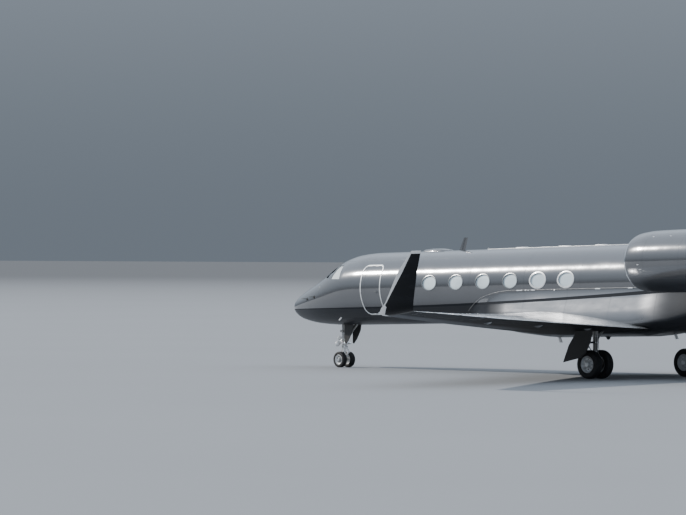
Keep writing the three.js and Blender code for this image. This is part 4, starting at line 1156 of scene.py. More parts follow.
class JET_OT_latches(bpy.types.Operator):
    """Makes the small latches and vents along the outer side of each nacelle"""

    bl_idname = "jet.latches"
    bl_label = "Nacelle latches"

    def execute(self, context):
        latch = block("latch", (-0.035, -0.010, -0.004), (0.035, 0.010, 0.004), 0.003, 2)
        rows = ((1.05, 0.938), (1.75, 0.944), (2.45, 0.936), (3.1, 0.913))  # distance aft and the skin's radius
        spots = [(along, radius, turn) for along, radius in rows for turn in (-128, -52, 205)]
        spots += [(0.70, 0.93, 6), (0.76, 0.93, 15), (0.85, 0.93, 15)]
        for side, sign in SIDES.items():
            parts = []
            for along, radius, turn in spots:
                tilt = Matrix.Rotation(-sign * math.radians(turn + 90), 4, "X")
                parts.append(copied(latch, "latch", tilt @ Matrix.Translation((along, 0, radius))))
            # The latches are near-white, which paints their glint.
            built(parts, f"nacelle_latches_{side}", "trim", place=at_nacelle(side))
        discard(latch)
        return {"FINISHED"}


class JET_OT_fans(bpy.types.Operator):
    """Makes the fans: twisted blades round a pointed spinner"""

    bl_idname = "jet.fans"
    bl_label = "Fans"

    def execute(self, context):
        clear_selection()
        bpy.ops.mesh.primitive_grid_add(x_subdivisions=8, y_subdivisions=14, size=1)
        blade = added("blade")
        blade.scale = (0.17, 0.46, 1)
        bpy.ops.object.transform_apply(location=False, rotation=False, scale=True)
        edit(blade)
        pick(blade, lambda spot: spot.y > 0.1)
        bpy.ops.transform.resize(value=(1.28, 1, 1))
        clear_selection()
        camber, twist, pitch = (math.radians(BLADE[key]) for key in ("camber", "twist", "pitch"))
        apply_modifier(blade, "SIMPLE_DEFORM", deform_method="BEND", angle=camber, deform_axis="Y")
        thicken(blade, 0.009, 0.0035)
        blade.data.transform(Matrix.Translation((0, 0.37, 0)))
        apply_modifier(blade, "SIMPLE_DEFORM", deform_method="TWIST", angle=twist, deform_axis="Y")
        blade.data.transform(Matrix.Rotation(math.pi / 2, 4, "X"))
        blade.data.transform(Matrix.Rotation(pitch, 4, "Z"))
        heights = [corner.co.z for corner in blade.data.vertices]
        low, high = min(heights), max(heights)
        reach = (FAN["tip"] - FAN["root"]) / (high - low)
        blade.data.transform(Matrix.Scale(reach, 4, (0, 0, 1)) @ Matrix.Translation((0, 0, -low)))
        blade.data.transform(Matrix.Translation((0.065, 0, FAN["root"])))
        spinner = lathe("spinner", rounded_rows([
            (-0.33, 0.0), (-0.318, 0.03), (-0.27, 0.075), (-0.18, 0.128), (-0.06, 0.173), (0.05, 0.19),
            (0.15, 0.196),
        ], 4) + [(0.15, 0.0)], 64)
        for side in SIDES:
            fan = joined([copied(spinner, "spinner")] + ringed(blade, FAN["blades"]), f"fan_{side}_rotor")
            moved(fan, at_nacelle(side, FAN["along"]))
            finish(fan, f"fan_{side}", "fan", 40, [f"fan_{side}"])
        discard(blade, spinner)
        return {"FINISHED"}


class JET_OT_engine_cores(bpy.types.Operator):
    """Makes the engines behind the fans: guide vanes, core cowl and exhaust cone"""

    bl_idname = "jet.engine_cores"
    bl_label = "Engine cores"

    def execute(self, context):
        front = FAN["along"] + 0.153
        case = rounded_rows([
            (front, 0.2), (1.1, 0.3), (1.4, 0.425), (2.6, 0.43), (4.1, 0.425), (4.6, 0.385), (4.96, 0.325),
        ], 4)
        cone = rounded_rows([(4.8, 0.22), (5.1, 0.19), (5.4, 0.105), (5.53, 0.03), (5.55, 0.0)], 3)
        cowl = lathe("core", case + [(4.96, 0.27), (4.8, 0.26)] + cone, 64)
        edit(cowl)
        pick(cowl, lambda spot: abs(spot.x - front) < 1e-4)
        bpy.ops.mesh.edge_face_add()
        clear_selection()
        tidy(cowl)
        vane = block("vane", (-0.11, -0.008, 0.36), (0.11, 0.008, 0.619), 0.006, 2)
        vane.data.transform(Matrix.Translation((1.32, 0, 0)))
        for side in SIDES:
            core = joined([copied(cowl, "core")] + ringed(vane, VANES), f"engine_core_{side}_body")
            moved(core, at_nacelle(side))
            finish(core, "airframe", "engine", 40, [f"engine_core_{side}"])
        discard(cowl, vane)
        return {"FINISHED"}


def wheel_at(node, outward):
    """Where a wheel stands, with the X axis turned to its outer side."""
    return Matrix.Translation(middle(node)) @ Matrix.Rotation(math.pi / 2 * outward, 4, "Z")


def wheels(kind):
    """The node endings of the main or nose wheels, with the side that faces out and the body each turns with."""
    if kind == "main":
        return [
            (f"{side}_{place}", sign * facing, f"main_wheels_{side}")
            for side, sign in SIDES.items() for place, facing in (("inner", -1), ("outer", 1))
        ]
    return [(side, sign, "nose_wheels") for side, sign in SIDES.items()]


def tyre_rows(radius, half, bead):
    """A tyre's outline: beads, bulged walls, and a crown with four grooves."""
    deep = radius - bead
    wall = rounded_rows([
        (0.80 * half, bead), (0.93 * half, bead + 0.05 * deep), (0.99 * half, bead + 0.2 * deep),
        (half, bead + 0.38 * deep), (0.985 * half, bead + 0.56 * deep), (0.93 * half, bead + 0.76 * deep),
        (0.82 * half, bead + 0.90 * deep), (0.66 * half, bead + 0.968 * deep),
    ], 3)
    tread = [
        (0.51, 0.002), (0.49, 0.011), (0.43, 0.011), (0.41, 0.001), (0.20, 0.0), (0.18, 0.010), (0.12, 0.010),
        (0.10, 0.0),
    ]
    right = wall + [(share * half, radius - depth) for share, depth in tread]
    left = [(-along, across) for along, across in reversed(right)]
    return right + left + [right[0]]


class JET_OT_tyres(bpy.types.Operator):
    """Makes the tyres with their bulged walls and tread grooves"""

    bl_idname = "jet.tyres"
    bl_label = "Tyres"

    def execute(self, context):
        for kind, (radius, half, bead) in (("main", MAIN_TYRE), ("nose", NOSE_TYRE)):
            pattern = lathe("tyre", tyre_rows(radius, half, bead), 96)
            for ending, outward, body in wheels(kind):
                node = f"{kind}_tyre_{ending}"
                tyre = copied(pattern, node + "_tread", wheel_at(node, outward))
                finish(tyre, body, "rubber", 30, [node])
            discard(pattern)
        return {"FINISHED"}


def with_holes(rim, count, circle, radius, reach):
    """Cuts a ring of round holes through a rim's web."""
    clear_selection()
    bpy.ops.mesh.primitive_cylinder_add(vertices=24, radius=radius, depth=reach, rotation=(0, math.pi / 2, 0))
    drill = moved(added("drill"), Matrix.Translation((0.02, 0, circle)))
    drills = joined(ringed(drill, count), "drills")
    apply_modifier(rim, "BOOLEAN", operation="DIFFERENCE", object=drills, solver="EXACT")
    discard(drill, drills)
    return rim


def bolts(count, circle, along, radius, height):
    """A ring of hexagon bolt heads round the X axis."""
    clear_selection()
    bpy.ops.mesh.primitive_cylinder_add(vertices=6, radius=radius, depth=height, rotation=(0, math.pi / 2, 0))
    bolt = moved(added("bolt"), Matrix.Translation((along, 0, circle)))
    apply_modifier(bolt, "BEVEL", width=radius * 0.18, segments=2)
    ring = ringed(bolt, count, 0.5)
    discard(bolt)
    return ring


class JET_OT_main_wheels(bpy.types.Operator):
    """Makes the main wheels: forged rims with a ring of holes, tie bolts and hub caps"""

    bl_idname = "jet.main_wheels"
    bl_label = "Main wheels"

    def execute(self, context):
        front = rounded_rows([
            (0.112, 0.265), (0.119, 0.261), (0.121, 0.254), (0.116, 0.247), (0.098, 0.237), (0.074, 0.218),
            (0.062, 0.203), (0.057, 0.188), (0.054, 0.155), (0.057, 0.122), (0.066, 0.104), (0.09, 0.096),
            (0.119, 0.092), (0.126, 0.085),
        ], 2)
        back = [
            (0.126, 0.0515), (-0.126, 0.0515), (-0.126, 0.080), (-0.04, 0.092), (-0.016, 0.108),
            (-0.012, 0.12), (-0.012, 0.195), (-0.02, 0.208), (-0.04, 0.216), (-0.108, 0.229), (-0.112, 0.235),
            (-0.112, 0.265), (0.112, 0.265),
        ]
        rim = with_holes(lathe("rim", front + back, 96), 8, 0.155, 0.026, 0.3)
        ties, studs = bolts(12, 0.219, 0.081, 0.009, 0.014), bolts(8, 0.112, 0.065, 0.008, 0.016)
        rim = joined([rim] + ties + studs, "rim")
        cap = lathe("cap", [
            (0.1262, 0.056), (0.1262, 0.069), (0.148, 0.069), (0.154, 0.066), (0.157, 0.06), (0.158, 0.05),
            (0.158, 0.022), (0.1545, 0.018), (0.1545, 0.0), (0.148, 0.0), (0.148, 0.054), (0.13, 0.056),
            (0.1262, 0.056),
        ], 48)
        for ending, outward, body in wheels("main"):
            node = f"main_rim_{ending}"
            place = wheel_at(f"main_tyre_{ending}", outward)
            finish(copied(rim, node + "_forging", place), body, "rim", 35, [node])
            finish(copied(cap, f"main_hub_cap_{ending}", place), body, "hub", 35)
        discard(rim, cap)
        return {"FINISHED"}


class JET_OT_nose_wheels(bpy.types.Operator):
    """Makes the nose wheels: pale rims with a grey centre, bolts and hub caps"""

    bl_idname = "jet.nose_wheels"
    bl_label = "Nose wheels"

    def execute(self, context):
        front = rounded_rows([
            (0.071, 0.172), (0.0765, 0.169), (0.0775, 0.163), (0.073, 0.157), (0.06, 0.149), (0.047, 0.137),
            (0.041, 0.124), (0.037, 0.100), (0.040, 0.074), (0.05, 0.064), (0.072, 0.060), (0.078, 0.054),
        ], 2)
        back = [
            (0.078, 0.0375), (-0.078, 0.0375), (-0.078, 0.054), (-0.03, 0.060), (-0.012, 0.07),
            (-0.009, 0.08), (-0.009, 0.124), (-0.016, 0.136), (-0.03, 0.142), (-0.068, 0.149), (-0.071, 0.153),
            (-0.071, 0.172), (0.071, 0.172),
        ]
        rim = with_holes(lathe("rim", front + back, 80), 6, 0.096, 0.016, 0.2)
        rim = joined([rim] + bolts(6, 0.096, 0.041, 0.007, 0.012), "rim")
        cap = lathe("cap", [
            (0.0782, 0.040), (0.0782, 0.048), (0.094, 0.048), (0.1, 0.043), (0.102, 0.03), (0.102, 0.0),
            (0.097, 0.0), (0.097, 0.038), (0.083, 0.040), (0.0782, 0.040),
        ], 40)
        for ending, outward, body in wheels("nose"):
            node = f"nose_rim_{ending}"
            place = wheel_at(f"nose_tyre_{ending}", outward)
            made = copied(rim, node + "_casting")
            finish(made, body, ["nose_rim", "hub_grey"], 35, [node])
            fill_with(made, 1, lambda spot, _: math.hypot(spot.y, spot.z) < 0.113 and spot.x > 0)
            made.data.transform(place)
            finish(copied(cap, f"nose_hub_cap_{ending}", place), body, "polished", 35)
        discard(rim, cap)
        return {"FINISHED"}


class JET_OT_brakes(bpy.types.Operator):
    """Makes the brake packs inside the main wheels"""

    bl_idname = "jet.brakes"
    bl_label = "Brakes"

    def execute(self, context):
        discs = []
        for i in range(5):
            start = 0.150 + 0.015 * i
            discs += [(start, 0.176), (start, 0.19), (start + 0.009, 0.19), (start + 0.009, 0.176)]
        rows = [(0.111, 0.0935), (0.111, 0.12), (0.13, 0.125), (0.13, 0.165), (0.142, 0.172)] + discs
        rows += [(0.228, 0.165), (0.228, 0.105), (0.14, 0.0935), (0.111, 0.0935)]
        pack = joined([lathe("brake", rows, 64)] + bolts(7, 0.148, 0.122, 0.019, 0.03), "brake")
        for side, sign in SIDES.items():
            leg = (MAIN_GEAR_X, sign * MAIN_LEG_OUT, middle(f"main_tyre_{side}_outer").z)
            for place, facing in (("inner", -1), ("outer", 1)):
                turn = Matrix.Translation(leg) @ Matrix.Rotation(math.pi / 2 * sign * facing, 4, "Z")
                brake = copied(pack, f"brake_{side}_{place}", turn)
                finish(brake, "airframe", "engine")
        discard(pack)
        return {"FINISHED"}


class JET_OT_gear(bpy.types.Operator):
    """Finishes the legs and gear doors"""

    bl_idname = "jet.gear"
    bl_label = "Landing gear"

    def execute(self, context):
        for side in SIDES:
            dressed(f"main_leg_{side}", "gear")
            dressed(f"main_leg_door_{side}", "dark")
            dressed(f"nose_gear_door_{side}", "dark")
        dressed("nose_leg", "gear")
        dressed("nose_fork", "gear")
        return {"FINISHED"}


def sleeve(name, x, y, low, high, inner, outer):
    """A tube round an upright leg, with its ends eased."""
    ease = min(0.004, (outer - inner) / 2)
    rows = [
        (low, inner), (low, outer - ease), (low + ease, outer), (high - ease, outer), (high, outer - ease),
        (high, inner), (low, inner),
    ]
    piece = lathe(name, rows, 40)
    piece.data.transform(Matrix.Translation((x, y, 0)) @ Matrix.Rotation(-math.pi / 2, 4, "Y"))
    return tidy(piece)


def pin(name, start, end, radius):
    """A straight pin with a head on each end."""
    start, end = Vector(start), Vector(end)
    along = (end - start).normalized() * radius
    shaft = tube(name, [start, end], radius, 4)
    near_head = tube(name, [start - along * 0.5, start + along * 0.4], radius * 1.5, 4)
    far_head = tube(name, [end - along * 0.4, end + along * 0.5], radius * 1.5, 4)
    return joined([shaft, near_head, far_head], name)


def cross_pin(x, y, z, half, radius):
    """A pin that lies across a leg."""
    return pin("pin", (x, y - half, z), (x, y + half, z), radius)


def link_arm(name, root, tip, half_root, half_tip, thick):
    """A forged torque link: a tapered plate between two lugs, hollowed in the middle."""
    root, tip = Vector(root), Vector(tip)
    run = tip - root
    clear_selection()
    bpy.ops.mesh.primitive_grid_add(x_subdivisions=6, y_subdivisions=4, size=1)
    plate = added(name)
    plate.scale = (run.length, 2 * half_root, 1)
    bpy.ops.object.transform_apply(location=False, rotation=False, scale=True)
    edit(plate)
    pick(plate, lambda spot: spot.x > run.length * 0.3)
    bpy.ops.transform.resize(value=(1, half_tip / half_root, 1))
    pick(plate, lambda spot, _: abs(spot.x) < run.length * 0.2 and abs(spot.y) < half_root * 0.5, "FACE")
    bpy.ops.mesh.delete(type="FACE")
    clear_selection()
    thicken(plate, thick, thick * 0.2)
    turn = Matrix.Rotation(-math.atan2(run.z, run.x), 4, "Y")
    plate.data.transform(Matrix.Translation((root + tip) / 2) @ turn)
    return plate


class JET_OT_main_leg_details(bpy.types.Operator):
    """Makes the main legs' chrome pistons, glands, torque link pins, hoses and door rods"""

    bl_idname = "jet.main_leg_details"
    bl_label = "Main leg details"

    def execute(self, context):
        x = MAIN_GEAR_X
        for side, sign in SIDES.items():
            y = sign * MAIN_LEG_OUT
            chrome = sleeve("piston", x, y, 0.545, 0.815, 0.0545, 0.0585)
            finish(named(chrome, f"main_piston_{side}"), "airframe", "chrome")
            # Rings round the leg: low and high end, inner and outer radius.
            rings = [sleeve("ring", x, y, *sizes) for sizes in (
                (0.80, 0.86, 0.06, 0.092), (0.868, 0.882, 0.06, 0.089), (1.10, 1.14, 0.07, 0.095),
                (1.30, 1.33, 0.07, 0.096), (0.515, 0.545, 0.05, 0.078),
            )]
            # Pins across it: distance aft, height, half length and radius.
            pins = [cross_pin(x + aft, y, *sizes) for aft, *sizes in (
                (0.197, 0.648, 0.062, 0.015), (0.03, 0.66, 0.066, 0.018), (0.03, 0.52, 0.066, 0.018),
                (0, 1.13, 0.1, 0.02),
            )]
            door_pin = pin("pin", (x - 0.02, y + sign * 0.085, 0.845), (x - 0.02, y + sign * 0.15, 0.845), 0.014)
            built(rings + pins + [door_pin], f"main_leg_fittings_{side}", "fitting")
            knee = (x - 0.10, y + sign * 0.42, 1.22)
            rod = [
                tube("rod", [(x - 0.02, y + sign * 0.13, 0.845), knee], 0.014),
                tube("rod", [(x - 0.045, y + sign * 0.22, 0.96), (x - 0.085, y + sign * 0.365, 1.15)], 0.024),
                tube("rod", [knee, (x - 0.10, y + sign * 0.632, 1.24)], 0.012),
            ]
            built(rod, f"door_rod_{side}", "chrome")
            route = (  # distance aft, spread to the side, height
                (0.085, 1, 1.36), (0.092, 1, 1.15), (0.10, 1, 0.93), (0.15, 1.3, 0.80), (0.20, 1.5, 0.69),
                (0.17, 1.9, 0.58), (0.09, 2.6, 0.50),
            )
            hoses = [
                tube("hose", rounded_rows([(x + aft, y + half * spread, z) for aft, spread, z in route], 4), 0.0085)
                for half in (-0.045, 0.045)
            ]
            built(hoses, f"brake_hoses_{side}", "rubber")
        return {"FINISHED"}


class JET_OT_nose_leg_details(bpy.types.Operator):
    """Makes the nose leg's piston, steering unit, links, braces and hoses"""

    bl_idname = "jet.nose_leg_details"
    bl_label = "Nose leg details"

    def execute(self, context):
        x = NOSE_GEAR_X
        # Collars round the leg: low and high end, inner and outer radius.
        still = [sleeve("collar", x, 0, *sizes) for sizes in (
            (0.80, 0.86, 0.075, 0.104), (0.95, 0.98, 0.075, 0.094), (1.14, 1.17, 0.075, 0.094),
        )]
        still += [cross_pin(x + 0.02, 0, 0.83, 0.13, 0.026), cross_pin(x + 0.84, 0, 1.655, 0.08, 0.022)]
        for y in (-0.045, 0.045):
            still.append(tube("lug", [(x + 0.05, y, 0.90), (x + 0.30, y, 1.13), (x + 0.33, y, 1.16)], 0.02))
        built(still, "nose_leg_fittings", "fitting")
        unit = lathe("unit", [
            (-0.19, 0.0), (-0.19, 0.03), (-0.18, 0.038), (-0.10, 0.038), (-0.095, 0.048), (0.095, 0.048),
            (0.10, 0.038), (0.18, 0.038), (0.19, 0.03), (0.19, 0.0),
        ], 36)
        unit.data.transform(Matrix.Translation((x + 0.115, 0, 0.81)) @ Matrix.Rotation(math.pi / 2, 4, "Z"))
        rods = [
            tube("rod", [(x + 0.10, 0.0, 1.02), (x + 0.38, 0.0, 1.36)], 0.022),
            tube("rod", [(x + 0.36, 0.0, 1.335), (x + 0.66, 0.0, 1.68)], 0.034),
        ]
        for y in (-0.09, 0.09):
            rods.append(tube("rod", [(x - 0.02, y, 0.92), (x - 0.02, y, 1.5)], 0.013))
        built([unit] + rods, "nose_steering_unit", "chrome")
        piston = sleeve("piston", x, 0, 0.47, 0.642, 0.0505, 0.0545)
        finish(named(piston, "nose_piston"), "nose_steering", "chrome")
        links = [
            link_arm("link", (x + 0.07, 0, 0.70), (x + 0.215, 0, 0.53), 0.055, 0.035, 0.022),
            link_arm("link", (x + 0.215, 0, 0.52), (x + 0.07, 0, 0.36), 0.035, 0.055, 0.022),
            cross_pin(x + 0.212, 0, 0.525, 0.05, 0.014),
            cross_pin(x + 0.068, 0, 0.70, 0.07, 0.016),
            cross_pin(x + 0.068, 0, 0.36, 0.07, 0.016),
            sleeve("gland", x, 0, 0.642, 0.668, 0.052, 0.092),
            sleeve("gland", x, 0, 0.725, 0.745, 0.08, 0.090),
            tube("tow_pin", [(x - 0.02, -0.10, 0.2665), (x - 0.02, 0.10, 0.2665)], 0.045, 5),
        ]
        built(links, "nose_torque_links", "hub", "nose_steering")
        hoses = [
            tube("hose", rounded_rows([
                (x + 0.085, y, 1.45), (x + 0.10, y, 1.2), (x + 0.10, y * 1.2, 1.0), (x + 0.13, y * 1.6, 0.88),
            ], 4), 0.009)
            for y in (-0.05, 0.0, 0.05)
        ]
        built(hoses, "nose_leg_hoses", "rubber")
        return {"FINISHED"}


def lamp(name, place, radius):
    """A landing light that looks forward: a bowl with a rim, and a lens in it."""
    bowl = lathe(name, rounded_rows([
        (0.95 * radius, 0.0), (0.92 * radius, 0.30 * radius), (0.72 * radius, 0.68 * radius),
        (0.35 * radius, 0.93 * radius), (0.0, radius),
    ], 3) + [
        (-0.02 * radius, 1.06 * radius), (-0.14 * radius, 1.06 * radius), (-0.16 * radius, radius),
        (-0.16 * radius, 0.9 * radius), (-0.06 * radius, 0.87 * radius), (-0.12 * radius, 0.45 * radius),
        (-0.13 * radius, 0.0),
    ], 48)
    fill_with(bowl, 1, lambda spot, _: spot.x < -0.04 * radius and math.hypot(spot.y, spot.z) < 0.86 * radius)
    bowl.data.transform(Matrix.Translation(place))
    return bowl


class JET_OT_landing_lights(bpy.types.Operator):
    """Makes the lights on the nose leg, with their brackets"""

    bl_idname = "jet.landing_lights"
    bl_label = "Landing lights"

    def execute(self, context):
        x = NOSE_GEAR_X
        lamps = [
            lamp("lamp", (x + aft, sign * out, z), radius)
            for sign in SIDES.values() for aft, out, z, radius in LAMPS
        ]
        piece = smooth(joined(lamps, "landing_lights"))
        while len(piece.data.materials) < 2:
            piece.data.materials.append(None)
        piece.data.materials[0] = FINISHES["hub"]
        piece.data.materials[1] = FINISHES["lens"]
        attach(piece, "airframe")
        arms = []
        for sign in SIDES.values():
            arms += [
                tube("arm", [(x - 0.04, sign * 0.05, 0.83), (x - 0.09, sign * 0.14, 0.81)], 0.02),
                tube("arm", [(x - 0.05, sign * 0.03, 0.965), (x - 0.10, sign * 0.075, 0.985)], 0.016),
                tube("wire", rounded_rows([
                    (x - 0.085, sign * 0.15, 0.80), (x - 0.04, sign * 0.14, 0.87), (x - 0.02, sign * 0.085, 0.98),
                    (x, sign * 0.085, 1.15),
                ], 4), 0.006),
            ]
        built(arms, "landing_light_arms", "fitting")
        return {"FINISHED"}


class JET_OT_probes(bpy.types.Operator):
    """Makes the air data probes, the slanted belly probe and the drain masts"""

    bl_idname = "jet.probes"
    bl_label = "Probes and masts"

    def execute(self, context):
        parts = []
        for sign in SIDES.values():
            for s, z in ((1.39, -0.30), (1.9, -0.24)):
                knee = on_hull(s - 0.02, z, sign, 0.075)
                arm = [on_hull(s, z, sign, -0.01), on_hull(s, z, sign, 0.06), knee, knee + Vector((-0.16, 0, 0))]
                parts.append(tube("probe", arm, 0.010))
                foot = [on_hull(s, z, sign, -0.006), on_hull(s, z, sign, 0.006)]
                parts.append(tube("plate", foot, 0.05, 6))
        built(parts, "air_data_probes", "dark", place=PLACE)
        foot = on_hull(3.02, -0.94, -1, -0.01)
        line = [foot, foot + Vector((-0.03, -0.02, -0.05)), foot + Vector((-0.08, -0.04, -0.10))]
        white = [tube("belly", line, 0.024)]
        for s, z, high in ((12.4, -1.69, 0.16), (17.4, -1.64, 0.14)):  # station, the skin's height, and length
            mast = block("mast", (s, -0.012, z - high), (s + 0.12, 0.012, z + 0.02), 0.006)
            edit(mast)
            pick(mast, lambda spot: spot.z < z - high * 0.5)
            bpy.ops.transform.translate(value=(0.07, 0, 0))
            clear_selection()
            white.append(mast)
        built(white, "belly_masts", "hub", place=PLACE)
        return {"FINISHED"}


class JET_OT_lights(bpy.types.Operator):
    """Makes the position lights at the wing tips and the beacon under the belly"""

    bl_idname = "jet.lights"
    bl_label = "Position lights"

    def execute(self, context):
        drop = lathe("light", rounded_rows([
            (-0.02, 0.0), (-0.012, 0.014), (0.02, 0.03), (0.10, 0.04), (0.22, 0.032), (0.36, 0.012),
            (0.40, 0.0),
        ], 3), 32)
        for side, sign in SIDES.items():
            turn = Matrix.Rotation(sign * math.radians(30), 4, "Z")
            place = PLACE @ Matrix.Translation((18.60, sign * 13.60, -0.925)) @ turn
            light = copied(drop, f"position_light_{side}", place)
            finish(light, "airframe", "polished")
        dome = lathe("beacon", rounded_rows([
            (0.0, 0.0), (0.0, 0.085), (0.012, 0.088), (0.02, 0.07), (0.06, 0.055), (0.085, 0.03), (0.092, 0.0),
        ], 3), 40)
        dome.data.transform(Matrix.Translation((14.6, 0, -1.687)) @ Matrix.Rotation(math.pi / 2, 4, "Y"))
        finish(moved(named(dome, "belly_beacon"), PLACE), "airframe", "lens")
        discard(drop)
        return {"FINISHED"}


class JET_OT_skin_trim(bpy.types.Operator):
    """Makes the strip along the crown, the edge of the wing's fairing with its plates, and the door's handle"""

    bl_idname = "jet.skin_trim"
    bl_label = "Skin trim"

    def execute(self, context):
        crown = [block("strip", (9.3, -0.045, 1.185), (17.6, 0.045, 1.207), 0.006)]
        for s in (10.6, 12.5, 14.1, 15.9, 16.8):
            crown.append(block("cover", (s, -0.035, 1.195), (s + 0.5, 0.035, 1.227), 0.012))
        # The crown strip is near-white, which paints the glint along the top of the fuselage.
        built(crown, "crown_strip", "trim", place=PLACE)
        line = rounded_rows(FAIRING_EDGE, 6)
        for side, sign in SIDES.items():
            bead = tube(f"fairing_bead_{side}", [on_hull(s, z, sign, 0.002) for s, z in line], 0.004, 2)
            finish(moved(bead, PLACE), "airframe", "hub_grey")
            plates = []
            for s, length in FAIRING_PLATES:
                along = [on_hull(s + length * i / 4, FAIRING_PLATE_HEIGHT, sign, 0.004) for i in range(5)]
                plates.append(tube("plate", along, 0.018))
            built(plates, f"fairing_plates_{side}", "polished", place=PLACE)
        plate = tube("handle", [on_hull(5.2, -0.12, -1, -0.004), on_hull(5.2, -0.12, -1, 0.006)], 0.05, 6)
        grip = tube("handle", [on_hull(5.14, -0.12, -1, 0.010), on_hull(5.26, -0.12, -1, 0.010)], 0.009)
        built([plate, grip], "door_handle", "body", "airstair", PLACE)
        return {"FINISHED"}


class JET_OT_static_wicks(bpy.types.Operator):
    """Makes the static wicks behind the ailerons and elevators"""

    bl_idname = "jet.static_wicks"
    bl_label = "Static wicks"

    def execute(self, context):
        for side, sign in SIDES.items():
            for panel, spots in WICKS.items():
                wicks = []
                for s, y, z in spots:
                    foot = Vector((s, sign * y, z))
                    wicks.append(tube("wick", [foot, foot + Vector((0.13, 0, -0.004))], 0.004))
                    wicks.append(tube("wick", [foot - Vector((0.01, 0, 0)), foot + Vector((0.03, 0, 0))], 0.008))
                built(wicks, f"{panel}_wicks_{side}", "dark", f"{panel}_{side}", PLACE)
        return {"FINISHED"}


def stuffed(name, low, high, cap, thin):
    """A stuffed pad between two corners: a rounded block that cloth pressure swells by no more than a cap, with two
    sewn channels along it afterwards. thin is the axis of its thickness."""
    low, high = Vector(low), Vector(high)
    size, centre = high - low, (high + low) / 2
    pad = block(name, low, high, min(size) * 0.3, 4)
    apply_modifier(pad, "REMESH", mode="VOXEL", voxel_size=PAD_VOXEL)
    rest = [corner.co.copy() for corner in pad.data.vertices]
    cloth = pad.modifiers.new("cloth", "CLOTH")
    cloth.settings.use_pressure = True
    cloth.settings.uniform_pressure_force = PAD_PRESSURE
    cloth.settings.effector_weights.gravity = 0
    for step in range(1, PAD_STEPS + 1):
        bpy.context.scene.frame_set(step)
    take(pad)
    bpy.ops.object.modifier_apply(modifier=cloth.name)
    bpy.context.scene.frame_set(1)
    for corner, spot in zip(pad.data.vertices, rest, strict=True):
        shift = corner.co - spot
        if shift.length > cap:
            corner.co = spot + shift * (cap / shift.length)
    long = 2 - thin  # the axis along the channels; they lie side by side along Y
    for corner in pad.data.vertices:
        spot = corner.co - centre
        for channel in PAD_CHANNELS:
            groove = math.exp(-(((spot.y / size.y - channel) / 0.012) ** 2))
            inside = 1 - min(abs(2 * spot[long] / size[long]), 1) ** 8
            corner.co[thin] -= math.copysign(0.35 * cap * groove * inside, spot[thin])
    apply_modifier(pad, "SUBSURF", levels=1, render_levels=1)
    return tidy(pad)


class JET_OT_crew_seats(bpy.types.Operator):
    """Makes the two crew seats: padded cushion, back and headrest on a shell and pedestal"""

    bl_idname = "jet.crew_seats"
    bl_label = "Crew seats"

    def execute(self, context):
        hinge = Vector(SEAT["hinge"])
        turn = Matrix.Rotation(SEAT["lean"], 4, "Y")
        lean = Matrix.Translation(hinge) @ turn @ Matrix.Translation(-hinge)
        pads = {
            "cushion": stuffed("cushion", (3.44, -0.20, -0.395), (3.80, 0.20, -0.325), 0.014, 2),
            "back": moved(stuffed("back", (3.79, -0.19, -0.30), (3.84, 0.19, 0.20), 0.012, 0), lean),
            "headrest": moved(stuffed("headrest", (3.79, -0.12, 0.24), (3.84, 0.12, 0.37), 0.010, 0), lean),
        }
        for side, sign in SIDES.items():
            y = sign * SEAT["out"]
            for part, model in pads.items():
                pad = copied(model, f"crew_seat_{part}_{side}", PLACE @ Matrix.Translation((0, y, 0)))
                finish(pad, "airframe", "leather")
            parts = [
                moved(block("shell", (3.85, y - 0.215, -0.33), (3.875, y + 0.215, 0.39), 0.011), lean),
                block("pan", (3.43, y - 0.215, -0.418), (3.88, y + 0.215, -0.402), 0.007),
                block("foot", (3.53, y - 0.11, -0.79), (3.79, y + 0.11, -0.765), 0.008),
                block("post", (3.60, y - 0.07, -0.77), (3.73, y + 0.07, -0.415), 0.02),
            ]
            for edge in (-1, 1):
                parts.append(tube("arm", rounded_rows([
                    (3.85, y + edge * 0.214, -0.30), (3.86, y + edge * 0.215, -0.16),
                    (3.80, y + edge * 0.215, -0.115), (3.55, y + edge * 0.215, -0.115),
                    (3.50, y + edge * 0.215, -0.13),
                ], 4), 0.014))
            piece = moved(joined(parts, f"crew_seat_frame_{side}"), PLACE)
            finish(piece, "airframe", "panel", 35, [f"crew_seat_{side}"])
        discard(*pads.values())
        return {"FINISHED"}


class JET_OT_cockpit(bpy.types.Operator):
    """Makes the screens in their frames, and the control wheels on their columns"""

    bl_idname = "jet.cockpit"
    bl_label = "Cockpit"

    def execute(self, context):
        screens, frames = [], []
        turn = Matrix.Rotation(math.pi / 2 - PANEL_LEAN, 4, "Y")
        for y in (-0.63, -0.31, 0.0, 0.31, 0.63):
            frames.append(block("frame", (-0.006, -0.14, -0.105), (0.008, 0.14, 0.105), 0.005))
            screens.append(block("screen", (0.004, -0.122, -0.09), (0.011, 0.122, 0.09), 0.002))
            for made in (frames[-1], screens[-1]):
                made.data.transform(Matrix.Translation((2.632, y, -0.01)) @ turn)
        built(frames, "screen_frames", "fitting", place=PLACE)
        built(screens, "screens", "lens", place=PLACE)
        yokes = []
        for y in (-SEAT["out"], SEAT["out"]):
            yokes.append(tube("yoke", rounded_rows([
                (2.98, y - 0.13, 0.0), (2.98, y - 0.135, -0.07), (2.975, y - 0.10, -0.12), (2.97, y, -0.13),
                (2.975, y + 0.10, -0.12), (2.98, y + 0.135, -0.07), (2.98, y + 0.13, 0.0),
            ], 4), 0.014))
            yokes.append(tube("column", [(2.97, y, -0.13), (2.56, y, -0.17)], 0.022))
        built(yokes, "control_wheels", "panel", place=PLACE)
        return {"FINISHED"}


